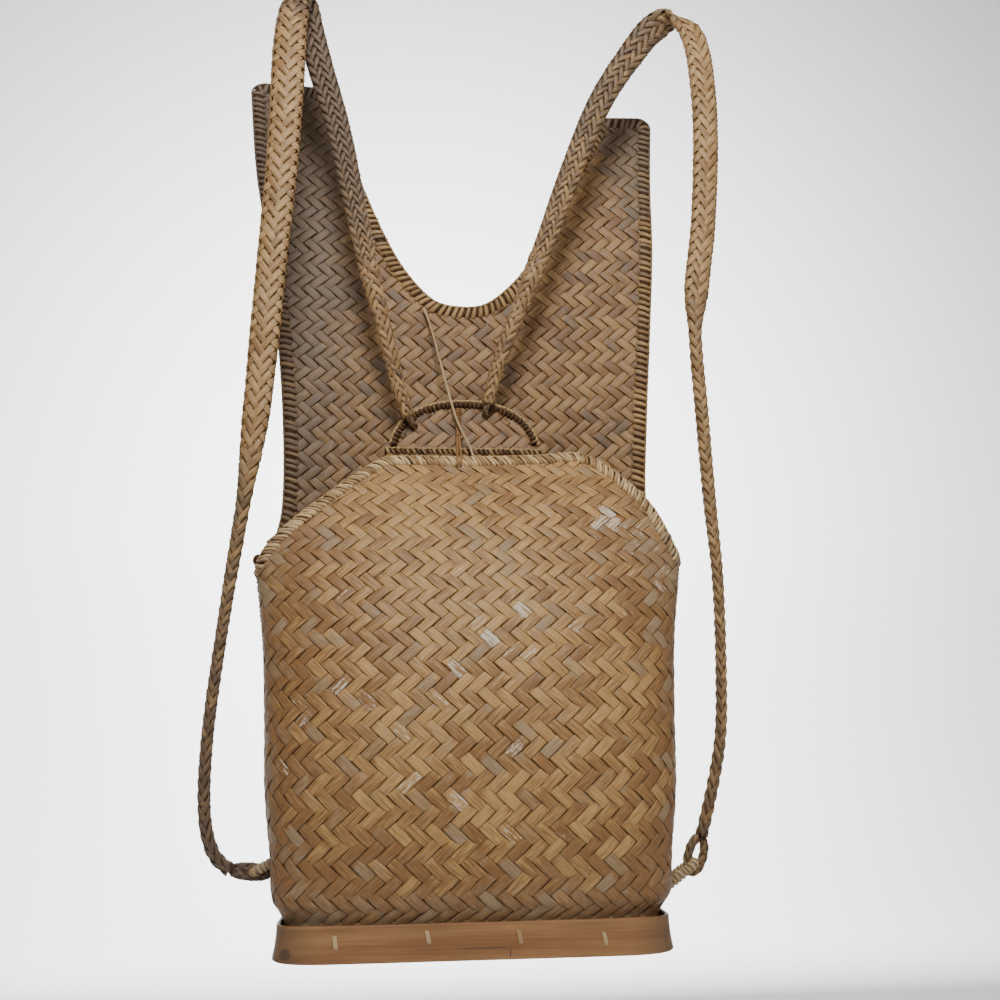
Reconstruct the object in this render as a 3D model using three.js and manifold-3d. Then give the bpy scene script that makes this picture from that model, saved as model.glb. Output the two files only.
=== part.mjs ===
// Woven straw backpack, hanging by its two shoulder straps.
// Millimetres, +Z up, +X to the right and -Y towards a viewer who faces the straps.
// The origin lies on the hang line, which runs along X under both strap crowns. Heights and depths
// below are measured from the bag's foot and its middle plane, and the whole bag is moved at the end.

import * as THREE from 'three';
import { mergeVertices } from 'three/addons/utils/BufferGeometryUtils.js';
import Module from 'manifold-3d';

// Woven sheets and the clearance between neighbouring pieces
const wall = 2.0;
const gap = 0.3;

// Bent wooden band around the foot
const bandWidth = 254;
const bandDepth = 108;
const bandHeight = 22;
const bandWall = 2.6;
const bandSquareness = 4.5;

// Pouch: heights above the foot, half widths and the reach of its two walls
const seamHeight = 258;
const rimHeight = 346;
const seamHalfWidth = 153.5;
const pouchHalfDepth = 54;
const footLift = 2;
const floorHeight = 5;

// Tall rear flap with two ears and a neckline
const leftEarHeight = 692;
const rightEarHeight = 674;
const earCorner = 13;
const necklineHeight = 487;
const necklineShift = 4;
const necklineHalfWidth = 120;

// Bindings: width in the plane of the sheet and thickness across it
const rimRollWidth = 9;
const rimRollDepth = 6.4;
const flapRollWidth = 11;
const flapRollDepth = 5;
const facingRollWidth = 6;
const facingRollDepth = 5.2;
const yokeRollWidth = 6.5;
const yokeRollDepth = 6.5;

// Facing behind the rim and the half-moon yoke that carries the straps
const facingHalfWidth = 62;
const facingShift = -3;
const facingDrop = 46;
const facingRise = 7.5;
const yokeHalfWidth = 60;
const yokeShift = -2.7;
const yokeRise = 48;
const yokeDrop = 24;
const yokeFoot = 2;
const tieWidth = 3.6;
const tieThickness = 2.2;
const tieShift = -8;
const tieTail = 2;
const tieSlack = 1;
const tieBend = 12;

// Straps: wide flat braid over the shoulder, thin rope below
const strapWidth = 22;
const strapThickness = 8;
const ropeDiameter = 8;
const lashRadius = 7.5;
const lashTube = 2.3;
const leftLashShift = -47;
const rightLashShift = 15;
const crownHeight = 724.5;
const crownDepth = -16;
const leftCrownShift = -139;
const rightCrownShift = 172;

// Cane eyelets at the lower side corners and the strap loops linked through them
const eyeletTube = 3.4;
const eyeletSpacing = 12.6;
const eyeletRise = 27;
const leftRootRise = 10;
const rightRootDrop = 19;
const loopTube = 2.6;
const loopLong = 12;
const loopShort = 8;

const halfBandWidth = bandWidth / 2;
const halfBandDepth = bandDepth / 2;
const facetRoom = 0.6;
const inBand = bandWall + gap + facetRoom + wall / 2;
const hangHeight = crownHeight - strapThickness / 2;

const cane = { color: 0xb78f5c, roughness: 0.62 };
const material = {
  straw: () => new THREE.MeshStandardMaterial({ color: 0xa8834f, roughness: 0.68 }),
  flap: () => new THREE.MeshStandardMaterial({ color: 0x957148, roughness: 0.72 }),
  binding: () => new THREE.MeshStandardMaterial({ color: 0x8a6a45, roughness: 0.7 }),
  rim: () => new THREE.MeshStandardMaterial(cane),
  wood: () => new THREE.MeshStandardMaterial({ color: 0xb07b43, roughness: 0.5 }),
  braid: () => new THREE.MeshStandardMaterial({ color: 0x9a7748, roughness: 0.65 }),
  eyelet: () => new THREE.MeshStandardMaterial({ color: 0xc6a877, roughness: 0.6 }),
};

// Wall sections. rise is a share of the height named beside the table, half of the half width at
// the seams, edge and reach of the pouch's half depth, and square is the corner's squareness.
const foot = {
  half: (halfBandWidth - inBand) / seamHalfWidth,
  reach: (halfBandDepth - inBand) / pouchHalfDepth,
};
const bandTop = (bandHeight + 2 * gap) / seamHeight;

// Near wall: rise 1 is the top of the side seams
const nearSections = [
  { rise: 0, half: foot.half, edge: 0, reach: foot.reach, square: bandSquareness },
  { rise: bandTop, half: foot.half + 0.005, edge: 0, reach: foot.reach, square: bandSquareness },
  { rise: bandTop + 0.045, half: 0.85, edge: 0, reach: 1.06, square: 4.2 },
  { rise: 0.235, half: 0.87, edge: 0, reach: 1.17, square: 3.7 },
  { rise: 0.39, half: 0.905, edge: 0, reach: 1.22, square: 3.4 },
  { rise: 0.58, half: 0.925, edge: 0, reach: 1.13, square: 3.1 },
  { rise: 0.78, half: 0.952, edge: -0.02, reach: 0.91, square: 2.8 },
  { rise: 1.0, half: 1.0, edge: -0.07, reach: 0.5, square: 2.6 },
  { rise: 1.17, half: 1.03, edge: 0.15, reach: 0.34, square: 2.6 },
  { rise: 1.34, half: 1.06, edge: 0.39, reach: 0.12, square: 2.6 },
  { rise: 1.45, half: 1.08, edge: 0.45, reach: 0.08, square: 2.6 },
  { rise: 1.6, half: 1.1, edge: 0.46, reach: 0.07, square: 2.6 },
];

// Far wall below the seam tops, and the virtual curve that the flap follows above them
const farSections = [
  { rise: 0, half: foot.half, edge: 0, reach: foot.reach, square: bandSquareness },
  { rise: bandTop, half: foot.half + 0.005, edge: 0, reach: foot.reach, square: bandSquareness },
  { rise: bandTop + 0.045, half: 0.85, edge: 0, reach: 0.98, square: 4.3 },
  { rise: 0.235, half: 0.87, edge: 0, reach: 1.0, square: 4.2 },
  { rise: 0.39, half: 0.905, edge: 0, reach: 1.0, square: 4.1 },
  { rise: 0.58, half: 0.925, edge: 0, reach: 0.98, square: 4 },
  { rise: 0.78, half: 0.952, edge: -0.02, reach: 0.97, square: 4 },
  { rise: 1.0, half: 1.0, edge: -0.07, reach: 0.98, square: 4 },
  { rise: 1.16, half: 1.05, edge: -0.07, reach: 0.99, square: 4 },
  { rise: 1.5, half: 1.17, edge: -0.07, reach: 1.0, square: 4 },
  { rise: 1.9, half: 1.32, edge: -0.07, reach: 1.02, square: 4 },
  { rise: 2.8, half: 1.6, edge: -0.07, reach: 1.04, square: 4 },
];

// Side edges of the flap above the seams, as shares of the half width at the seams
const flapSides = [
  { rise: 1.0, left: 1.0, right: 1.0 },
  { rise: 1.06, left: 0.975, right: 0.98 },
  { rise: 1.2, left: 0.935, right: 0.93 },
  { rise: 1.5, left: 0.955, right: 0.96 },
  { rise: 1.8, left: 1.01, right: 1.005 },
  { rise: 2.1, left: 1.085, right: 1.045 },
  { rise: 2.35, left: 1.16, right: 1.055 },
  { rise: 2.7, left: 1.22, right: 1.09 },
];

// Rim line of the near wall: across as a share of the half width at the seams,
// rise as a share of the climb from the seam tops to the level rim
const rimLine = [
  { across: -1.02, rise: -0.08 },
  { across: -0.97, rise: 0.08 },
  { across: -0.86, rise: 0.31 },
  { across: -0.68, rise: 0.6 },
  { across: -0.45, rise: 0.94 },
  { across: -0.34, rise: 0.98 },
  { across: 0.0, rise: 0.98 },
  { across: 0.36, rise: 1.01 },
  { across: 0.52, rise: 1.04 },
  { across: 0.62, rise: 1.0 },
  { across: 0.77, rise: 0.78 },
  { across: 0.9, rise: 0.48 },
  { across: 0.975, rise: 0.16 },
  { across: 1.02, rise: 0.0 },
];

// Neckline: across as a share of its half width, rise from its lowest point to the ears' height
const neckline = [
  { across: -1.0, rise: 1.0 },
  { across: -0.87, rise: 0.7 },
  { across: -0.7, rise: 0.43 },
  { across: -0.5, rise: 0.19 },
  { across: -0.28, rise: 0.035 },
  { across: -0.1, rise: 0.0 },
  { across: 0.1, rise: 0.015 },
  { across: 0.28, rise: 0.11 },
  { across: 0.43, rise: 0.24 },
  { across: 0.56, rise: 0.44 },
  { across: 0.79, rise: 0.76 },
  { across: 0.97, rise: 1.0 },
];

// Strap shape along its run: width and thick as shares of the strap's or, past the step at
// 0.66, of the rope's own size
const strapShape = [
  { along: 0.0, width: 0.5, thick: 0.85 },
  { along: 0.06, width: 0.62, thick: 1 },
  { along: 0.16, width: 0.85, thick: 1 },
  { along: 0.3, width: 1.02, thick: 1 },
  { along: 0.35, width: 1.12, thick: 1 },
  { along: 0.4, width: 1.17, thick: 1 },
  { along: 0.46, width: 1.12, thick: 1 },
  { along: 0.58, width: 0.93, thick: 1 },
  { along: 0.64, width: 0.85, thick: 1 },
];
const ropeShape = [
  { along: 0.67, width: 1.55, thick: 1.1 },
  { along: 0.74, width: 1.15, thick: 1 },
  { along: 0.85, width: 0.95, thick: 0.95 },
  { along: 1.0, width: 1.0, thick: 1 },
];

// Inner legs of the straps, as shares of the way from the lashing at the yoke to the crown
const leftInnerLeg = [
  { rise: 0, across: 0, deep: 0 },
  { rise: 0.067, across: 0.087, deep: 0.12 },
  { rise: 0.169, across: 0.185, deep: 0.25 },
  { rise: 0.309, across: 0.326, deep: 0.4 },
  { rise: 0.504, across: 0.49, deep: 0.5 },
  { rise: 0.7, across: 0.655, deep: 0.62 },
  { rise: 0.85, across: 0.82, deep: 0.7 },
  { rise: 0.95, across: 0.924, deep: 0.77 },
  { rise: 0.993, across: 0.968, deep: 0.87 },
];
const rightInnerLeg = [
  { rise: 0, across: 0, deep: 0 },
  { rise: 0.036, across: 0.019, deep: 0.09 },
  { rise: 0.114, across: 0.07, deep: 0.17 },
  { rise: 0.25, across: 0.178, deep: 0.31 },
  { rise: 0.409, across: 0.306, deep: 0.46 },
  { rise: 0.592, across: 0.445, deep: 0.56 },
  { rise: 0.79, across: 0.618, deep: 0.66 },
  { rise: 0.914, across: 0.782, deep: 0.75 },
  { rise: 0.982, across: 0.9, deep: 0.88 },
];

// Outer legs: rise is a share of the drop from the crown to the eyelet, across of the half width
// at the seams and deep of the pouch's half depth
const leftOuterLeg = [
  { rise: 0.985, across: 0.92, deep: 0.42 },
  { rise: 0.945, across: 0.937, deep: 0.5 },
  { rise: 0.84, across: 0.94, deep: 0.55 },
  { rise: 0.742, across: 0.951, deep: 0.556 },
  { rise: 0.647, across: 0.971, deep: 0.574 },
  { rise: 0.546, across: 0.99, deep: 0.593 },
  { rise: 0.463, across: 1.01, deep: 0.574 },
  { rise: 0.369, across: 1.049, deep: 0.537 },
  { rise: 0.258, across: 1.107, deep: 0.463 },
  { rise: 0.132, across: 1.16, deep: 0.37 },
  { rise: 0.071, across: 1.163, deep: 0.315 },
  { rise: 0.04, across: 1.147, deep: 0.278 },
  { rise: 0.016, across: 1.107, deep: 0.222 },
  { rise: 0.002, across: 1.042, deep: 0.148 },
];
const rightOuterLeg = [
  { rise: 0.985, across: 1.19, deep: 0.39 },
  { rise: 0.955, across: 1.228, deep: 0.46 },
  { rise: 0.9, across: 1.243, deep: 0.51 },
  { rise: 0.832, across: 1.24, deep: 0.53 },
  { rise: 0.706, across: 1.192, deep: 0.537 },
  { rise: 0.624, across: 1.134, deep: 0.556 },
  { rise: 0.571, across: 1.111, deep: 0.556 },
  { rise: 0.471, across: 1.124, deep: 0.5 },
  { rise: 0.374, across: 1.14, deep: 0.444 },
  { rise: 0.291, across: 1.16, deep: 0.389 },
  { rise: 0.19, across: 1.153, deep: 0.333 },
  { rise: 0.125, across: 1.134, deep: 0.296 },
  { rise: 0.085, across: 1.101, deep: 0.241 },
  { rise: 0.047, across: 1.062, deep: 0.148 },
  { rise: 0.024, across: 1.036, deep: 0.093 },
];

const wasm = await Module();
wasm.setup();

// Smooth value of one column at a rise, by cubic pieces through the rows
function readColumn(table, key, at, column) {
  const last = table.length - 1;
  if (at <= table[0][key]) return table[0][column];
  if (at >= table[last][key]) return table[last][column];
  let i = 0;
  while (at > table[i + 1][key]) i += 1;
  const slope = (k) => {
    const low = table[Math.max(k - 1, 0)];
    const high = table[Math.min(k + 1, last)];
    return (high[column] - low[column]) / (high[key] - low[key]);
  };
  const span = table[i + 1][key] - table[i][key];
  const t = (at - table[i][key]) / span;
  const keep = 2 * t ** 3 - 3 * t ** 2 + 1;
  return keep * table[i][column] + (1 - keep) * table[i + 1][column]
    + (t ** 3 - 2 * t ** 2 + t) * span * slope(i)
    + (t ** 3 - t ** 2) * span * slope(i + 1);
}

function sectionAt(table, z) {
  const rise = z / seamHeight;
  return {
    half: readColumn(table, 'rise', rise, 'half') * seamHalfWidth,
    edge: readColumn(table, 'rise', rise, 'edge') * pouchHalfDepth,
    reach: readColumn(table, 'rise', rise, 'reach') * pouchHalfDepth,
    square: readColumn(table, 'rise', rise, 'square'),
  };
}

// Depth of a wall over a point of the front view; facing is -1 for the near wall, 1 for the far
function wallDepth(table, facing, x, z) {
  const s = sectionAt(table, z);
  const share = Math.min(Math.abs(x) / s.half, 1);
  return s.edge + facing * s.reach * (1 - share ** s.square) ** (1 / s.square);
}

const nearDepth = (x, z) => wallDepth(nearSections, -1, x, z);
const farDepth = (x, z) => wallDepth(farSections, 1, x, z);

// Plan curve of a wall at one height, from the left limit to the right one, evenly stepped
const curveSamples = 160;
function planCurve(table, facing, z, left, right) {
  const s = sectionAt(table, z);
  const from = Math.acos(Math.min(left / s.half, 1) ** (s.square / 2));
  const to = Math.PI - Math.acos(Math.min(right / s.half, 1) ** (s.square / 2));
  const points = [];
  const lengths = [0];
  for (let i = 0; i <= curveSamples; i += 1) {
    const angle = from + (to - from) * (i / curveSamples);
    const across = Math.sign(-Math.cos(angle)) * Math.abs(Math.cos(angle)) ** (2 / s.square);
    const out = Math.abs(Math.sin(angle)) ** (2 / s.square);
    points.push(new THREE.Vector3(s.half * across, s.edge + facing * s.reach * out, z));
    if (i > 0) lengths.push(lengths[i - 1] + points[i].distanceTo(points[i - 1]));
  }
  const total = lengths[curveSamples];
  return (share, inset = 0) => {
    const want = inset + share * (total - 2 * inset);
    let i = 0;
    while (i < curveSamples - 1 && lengths[i + 1] < want) i += 1;
    const t = (want - lengths[i]) / (lengths[i + 1] - lengths[i]);
    return points[i].clone().lerp(points[i + 1], t);
  };
}

// A closed geometry from vertices and triangles, turned so that its faces point out
function closedGeometry(vertices, triangles) {
  let volume = 0;
  for (const [a, b, c] of triangles) {
    volume += vertices[a].dot(new THREE.Vector3().crossVectors(vertices[b], vertices[c])) / 6;
  }
  const geometry = new THREE.BufferGeometry();
  geometry.setAttribute('position',
    new THREE.Float32BufferAttribute(vertices.flatMap((v) => [v.x, v.y, v.z]), 3));
  geometry.setIndex(triangles.flatMap(([a, b, c]) => (volume > 0 ? [a, b, c] : [a, c, b])));
  geometry.computeVertexNormals();
  return geometry;
}

// A sheet of even thickness over a grid of points, columns[i][k]
function sheetGeometry(columns) {
  const across = columns.length;
  const up = columns[0].length;
  const at = (i, k) => columns[Math.min(Math.max(i, 0), across - 1)][Math.min(Math.max(k, 0), up - 1)];
  const vertices = [];
  for (const side of [1, -1]) {
    for (let i = 0; i < across; i += 1) {
      for (let k = 0; k < up; k += 1) {
        const along = at(i + 1, k).clone().sub(at(i - 1, k));
        const rising = at(i, k + 1).clone().sub(at(i, k - 1));
        const normal = along.cross(rising).normalize();
        vertices.push(at(i, k).clone().addScaledVector(normal, side * wall / 2));
      }
    }
  }
  const triangles = [];
  const quad = (a, b, c, d) => triangles.push([a, b, c], [a, c, d]);
  const index = (side, i, k) => side * across * up + i * up + k;
  for (let i = 0; i < across - 1; i += 1) {
    for (let k = 0; k < up - 1; k += 1) {
      quad(index(0, i, k), index(0, i + 1, k), index(0, i + 1, k + 1), index(0, i, k + 1));
      quad(index(1, i, k), index(1, i, k + 1), index(1, i + 1, k + 1), index(1, i + 1, k));
    }
  }
  for (let i = 0; i < across - 1; i += 1) {
    quad(index(0, i + 1, 0), index(0, i, 0), index(1, i, 0), index(1, i + 1, 0));
    quad(index(0, i, up - 1), index(0, i + 1, up - 1), index(1, i + 1, up - 1), index(1, i, up - 1));
  }
  for (let k = 0; k < up - 1; k += 1) {
    quad(index(0, 0, k), index(0, 0, k + 1), index(1, 0, k + 1), index(1, 0, k));
    quad(index(0, across - 1, k + 1), index(0, across - 1, k),
      index(1, across - 1, k), index(1, across - 1, k + 1));
  }
  return closedGeometry(vertices, triangles);
}

// A tube through rings of points; a closed one joins its last ring to its first
function tubeGeometry(rings, closed = false) {
  const sides = rings[0].length;
  const vertices = rings.flat();
  const triangles = [];
  const spans = closed ? rings.length : rings.length - 1;
  for (let r = 0; r < spans; r += 1) {
    const next = (r + 1) % rings.length;
    for (let s = 0; s < sides; s += 1) {
      const t = (s + 1) % sides;
      triangles.push([r * sides + s, r * sides + t, next * sides + t]);
      triangles.push([r * sides + s, next * sides + t, next * sides + s]);
    }
  }
  if (!closed) {
    const last = (rings.length - 1) * sides;
    for (let s = 1; s < sides - 1; s += 1) {
      triangles.push([0, s + 1, s]);
      triangles.push([last, last + s, last + s + 1]);
    }
  }
  return closedGeometry(vertices, triangles);
}

// An oval ring round a point: wide along one direction, thick along the other
function ovalRing(centre, wideWay, thickWay, width, thickness, sides) {
  return Array.from({ length: sides }, (_, k) => {
    const angle = (2 * Math.PI * (k + 0.5)) / sides;
    return centre.clone()
      .addScaledVector(wideWay, (width / 2) * Math.cos(angle))
      .addScaledVector(thickWay, (thickness / 2) * Math.sin(angle));
  });
}

// A binding roll along points of a sheet; depthOf gives the sheet, so the roll lies in its plane
function bindingGeometry(line, depthOf, width, depth, sides = 8) {
  const probe = 0.5;
  const lift = ([x, z]) => new THREE.Vector3(x, depthOf(x, z), z);
  const rings = line.map(([x, z], i) => {
    const before = lift(line[Math.max(i - 1, 0)]);
    const after = lift(line[Math.min(i + 1, line.length - 1)]);
    const along = after.sub(before).normalize();
    const right = lift([x + probe, z]).sub(lift([x - probe, z]));
    const up = lift([x, z + probe]).sub(lift([x, z - probe]));
    const normal = right.cross(up).normalize();
    const inPlane = along.clone().cross(normal).normalize();
    return ovalRing(lift([x, z]), inPlane, inPlane.clone().cross(along), width, depth, sides);
  });
  return tubeGeometry(rings);
}

// A line of the front view moved sideways by a distance, to its right as it runs
function insetLine(line, distance) {
  const side = (a, b) => new THREE.Vector2(b[1] - a[1], a[0] - b[0]).normalize();
  return line.map((point, i) => {
    const into = side(line[Math.max(i - 1, 0)], line[Math.max(i, 1)]);
    const out = side(line[Math.min(i, line.length - 2)], line[Math.min(i + 1, line.length - 1)]);
    const mid = into.clone().add(out).normalize();
    const reach = distance / Math.max(mid.dot(into), 0.4);
    return [point[0] + mid.x * reach, point[1] + mid.y * reach];
  });
}

// Rows of a table resampled to a fine line of the front view
function tableLine(table, scaleX, shiftX, lowZ, highZ, steps) {
  const from = table[0].across;
  const to = table[table.length - 1].across;
  return Array.from({ length: steps + 1 }, (_, i) => {
    const across = from + (to - from) * (i / steps);
    const rise = readColumn(table, 'across', across, 'rise');
    return [shiftX + across * scaleX, lowZ + rise * (highZ - lowZ)];
  });
}

function toSolid(geometry) {
  const bare = geometry.clone();
  for (const name of Object.keys(bare.attributes)) {
    if (name !== 'position') bare.deleteAttribute(name);
  }
  const merged = mergeVertices(bare, 1e-4);
  return new wasm.Manifold(new wasm.Mesh({
    numProp: 3,
    vertProperties: new Float32Array(merged.attributes.position.array),
    triVerts: new Uint32Array(merged.index.array),
  }));
}

function fromSolid(solid) {
  const mesh = solid.getMesh();
  const geometry = new THREE.BufferGeometry();
  geometry.setAttribute('position', new THREE.BufferAttribute(mesh.vertProperties, 3));
  geometry.setIndex(new THREE.BufferAttribute(mesh.triVerts, 1));
  geometry.computeVertexNormals();
  return geometry;
}

// A plate with the given front-view outline that runs right through the bag from front to back
function frontPrism(outline) {
  const shape = new THREE.Shape(outline.map(([x, z]) => new THREE.Vector2(x, z)));
  const through = 4 * bandDepth;
  const geometry = new THREE.ExtrudeGeometry(shape, { depth: through, bevelEnabled: false });
  geometry.rotateX(Math.PI / 2);
  geometry.translate(0, through / 2, 0);
  return toSolid(geometry);
}

const bag = new THREE.Group();
bag.position.set(0, -crownDepth, -hangHeight);

function addPiece(name, geometry, look) {
  const mesh = new THREE.Mesh(geometry, look);
  mesh.name = name;
  bag.add(mesh);
}

// Foot curve, moved in from the band's outer face
function footCurve(inset, steps) {
  const points = [];
  for (let i = 0; i < steps; i += 1) {
    const angle = (2 * Math.PI * i) / steps;
    const power = 2 / bandSquareness;
    const c = Math.cos(angle);
    const s = Math.sin(angle);
    points.push(new THREE.Vector2(
      (halfBandWidth - inset) * Math.sign(c) * Math.abs(c) ** power,
      (halfBandDepth - inset) * Math.sign(s) * Math.abs(s) ** power,
    ));
  }
  return points;
}

const footSteps = 64;

function baseBand() {
  const shape = new THREE.Shape(footCurve(0, footSteps));
  shape.holes.push(new THREE.Path(footCurve(bandWall, footSteps)));
  return new THREE.ExtrudeGeometry(shape, { depth: bandHeight, bevelEnabled: false });
}

function floorMat() {
  const shape = new THREE.Shape(footCurve(inBand + wall / 2 + gap + facetRoom, footSteps));
  const geometry = new THREE.ExtrudeGeometry(shape, { depth: wall, bevelEnabled: false });
  geometry.translate(0, 0, floorHeight - wall);
  return geometry;
}

// Heights of the grid rows below the seam tops, as shares of the seam height
const seamRows = [0, bandTop, 0.103, 0.128, 0.165, 0.235, 0.32, 0.42, 0.54, 0.66, 0.78, 0.88, 0.96];
const sheetColumns = 24;
const seamInset = gap;

function wallColumns(heights, pointOf) {
  return Array.from({ length: sheetColumns + 1 }, (_, i) => {
    const share = i / sheetColumns;
    return heights.map((z) => pointOf(share, z));
  });
}

const rimPath = tableLine(rimLine, seamHalfWidth, 0, seamHeight, rimHeight, 36);

function frontShell() {
  const above = [1.04, 1.12, 1.2, 1.28, 1.36, 1.42];
  const heights = [...seamRows, ...above].map((share) => Math.max(share * seamHeight, footLift));
  const columns = wallColumns(heights, (share, z) => {
    const { half } = sectionAt(nearSections, z);
    return planCurve(nearSections, -1, z, half, half)(share, seamInset);
  });
  const trimmed = insetLine(rimPath, rimRollWidth + gap);
  const outside = 2 * seamHalfWidth;
  const keep = [
    [-outside, -bandHeight], [outside, -bandHeight], [outside, trimmed[trimmed.length - 1][1]],
    ...[...trimmed].reverse(), [-outside, trimmed[0][1]],
  ];
  return fromSolid(toSolid(sheetGeometry(columns)).intersect(frontPrism(keep)));
}

function flapSide(z, side) {
  return readColumn(flapSides, 'rise', z / seamHeight, side) * seamHalfWidth;
}

// The flap's own binding starts just above the seam tops
const bindingRise = 1.012;

// Outline of the flap from the left seam top over both ears to the right seam top
function flapOutline() {
  const start = bindingRise * seamHeight + flapRollWidth;
  const sideSteps = 15;
  const climb = (side, top) => Array.from({ length: sideSteps }, (_, i) => {
    const z = start + (top - earCorner - start) * (i / (sideSteps - 1));
    return [flapSide(z, side), z];
  });
  const cornerSteps = 5;
  const corner = (edge, top) => Array.from({ length: cornerSteps }, (_, i) => {
    const angle = ((i + 1) / (cornerSteps + 1)) * (Math.PI / 2);
    return [edge - earCorner * (1 - Math.cos(angle)), top - earCorner * (1 - Math.sin(angle))];
  });
  const left = [...climb('left', leftEarHeight), ...corner(flapSide(leftEarHeight, 'left'), leftEarHeight)]
    .map(([x, z]) => [-x, z]);
  const right = [...climb('right', rightEarHeight),
    ...corner(flapSide(rightEarHeight, 'right'), rightEarHeight)].reverse();
  const necklineSteps = 30;
  const neck = tableLine(neckline, necklineHalfWidth, necklineShift, 0, 1, necklineSteps)
    .map(([x, rise]) => {
      const ear = x < necklineShift ? leftEarHeight : rightEarHeight;
      return [x, necklineHeight + rise * (ear - necklineHeight)];
    });
  return [...left, ...neck, ...right];
}

const flapLine = flapOutline();

function backPanel() {
  const above = [1.035, 1.07, 1.12, 1.2, 1.34, 1.5, 1.75, 2.0, 2.25, 2.5, 2.72];
  const shares = [...seamRows, 1.0, bindingRise, ...above];
  const heights = shares.map((share) => Math.max(share * seamHeight, footLift));
  const trim = flapRollWidth + gap + facetRoom;
  const columns = wallColumns(heights, (share, z) => {
    if (z >= bindingRise * seamHeight) {
      const curve = planCurve(farSections, 1, z, flapSide(z, 'left'), flapSide(z, 'right'));
      return curve(share, trim);
    }
    const { half } = sectionAt(farSections, z);
    return planCurve(farSections, 1, z, half, half)(share, seamInset);
  });
  const trimmed = insetLine(flapLine, trim);
  const first = trimmed.findIndex(([, z]) => z > leftEarHeight - earCorner - trim);
  const inner = trimmed.filter(([x, z], i) => (
    i > first && z > necklineHeight - 2 * trim && Math.abs(x) < necklineHalfWidth + trim));
  const outside = 2 * seamHalfWidth;
  const keep = [
    [-outside, -bandHeight], [outside, -bandHeight], [outside, inner[inner.length - 1][1]],
    ...[...inner].reverse(), [-outside, inner[0][1]],
  ];
  return fromSolid(toSolid(sheetGeometry(columns)).intersect(frontPrism(keep)));
}

function frontRim() {
  const line = insetLine(rimPath, rimRollWidth / 2)
    .filter(([x]) => Math.abs(x) < seamHalfWidth * 0.985);
  return bindingGeometry(line, nearDepth, rimRollWidth, rimRollDepth);
}

// The side edges bend round the pouch, so the binding's place is measured along the sheet there
function panelBinding() {
  const inset = flapRollWidth / 2;
  const line = insetLine(flapLine, inset).map(([x, z]) => {
    if (z > rightEarHeight - 3 * earCorner || Math.abs(x) < necklineHalfWidth) return [x, z];
    const curve = planCurve(farSections, 1, z, flapSide(z, 'left'), flapSide(z, 'right'));
    return [curve(x < 0 ? 0 : 1, inset).x, z];
  });
  return bindingGeometry(line, farDepth, flapRollWidth, flapRollDepth);
}

// The facing and the yoke lie behind the near wall, each clear of the roll in front of it
const leanRoom = 1.4;
const facingOffset = rimRollDepth / 2 + leanRoom + gap + wall / 2;
const yokeOffset = facingOffset + facingRollDepth / 2 + gap + wall / 2;
const facingDepth = (x, z) => nearDepth(0, z) + facingOffset;
const yokeDepth = (x, z) => nearDepth(0, z) + yokeOffset;
const facingTop = rimHeight + facingRise;

function standingSheet(outline, depthOf, lowZ, highZ, halfWidth, shiftX, rows) {
  const across = 8;
  const columns = Array.from({ length: across + 1 }, (_, i) => {
    const x = shiftX + halfWidth * ((2 * i) / across - 1);
    return Array.from({ length: rows + 1 }, (_r, k) => {
      const z = lowZ + (highZ - lowZ) * (k / rows);
      return new THREE.Vector3(x, depthOf(x, z), z);
    });
  });
  return toSolid(sheetGeometry(columns)).intersect(frontPrism(outline));
}

function innerFacing() {
  const low = rimHeight - facingDrop;
  const high = facingTop - facingRollWidth - gap;
  const left = facingShift - facingHalfWidth;
  const right = facingShift + facingHalfWidth;
  const outline = [[left, low], [right, low], [right, high], [left, high]];
  return fromSolid(standingSheet(outline, facingDepth, low - wall, high + wall,
    facingHalfWidth + wall, facingShift, 5));
}

function facingBinding() {
  const z = facingTop - facingRollWidth / 2;
  const steps = 14;
  const line = Array.from({ length: steps + 1 }, (_, i) => (
    [facingShift + facingHalfWidth * ((2 * i) / steps - 1), z]));
  return bindingGeometry(line, facingDepth, facingRollWidth, facingRollDepth);
}

// Arch of the yoke from its left foot to its right one
const archSquareness = 2.3;
function yokeArch(steps) {
  return Array.from({ length: steps + 1 }, (_, i) => {
    const angle = Math.PI * (1 - i / steps);
    const c = Math.cos(angle);
    const across = Math.sign(c) * Math.abs(c) ** (2 / archSquareness);
    const rise = Math.abs(Math.sin(angle)) ** (2 / archSquareness);
    return [yokeShift + yokeHalfWidth * across, rimHeight + yokeFoot + yokeRise * rise];
  });
}

const archSteps = 30;
const archCentre = insetLine(yokeArch(archSteps), yokeRollWidth / 2);

// Centre of a lashing round the arch, with the directions along and into the arch
function lashPlace(shift) {
  let i = 1;
  while (archCentre[i][0] < shift) i += 1;
  const [a, b] = [archCentre[i - 1], archCentre[i]];
  const t = (shift - a[0]) / (b[0] - a[0]);
  const x = shift;
  const z = a[1] + (b[1] - a[1]) * t;
  const along = new THREE.Vector3(b[0] - a[0], 0, b[1] - a[1]).normalize();
  const inward = new THREE.Vector3(along.z, 0, -along.x);
  return { centre: new THREE.Vector3(x, yokeDepth(x, z), z), inward };
}

const leftLash = lashPlace(leftLashShift);
const rightLash = lashPlace(rightLashShift);

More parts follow.
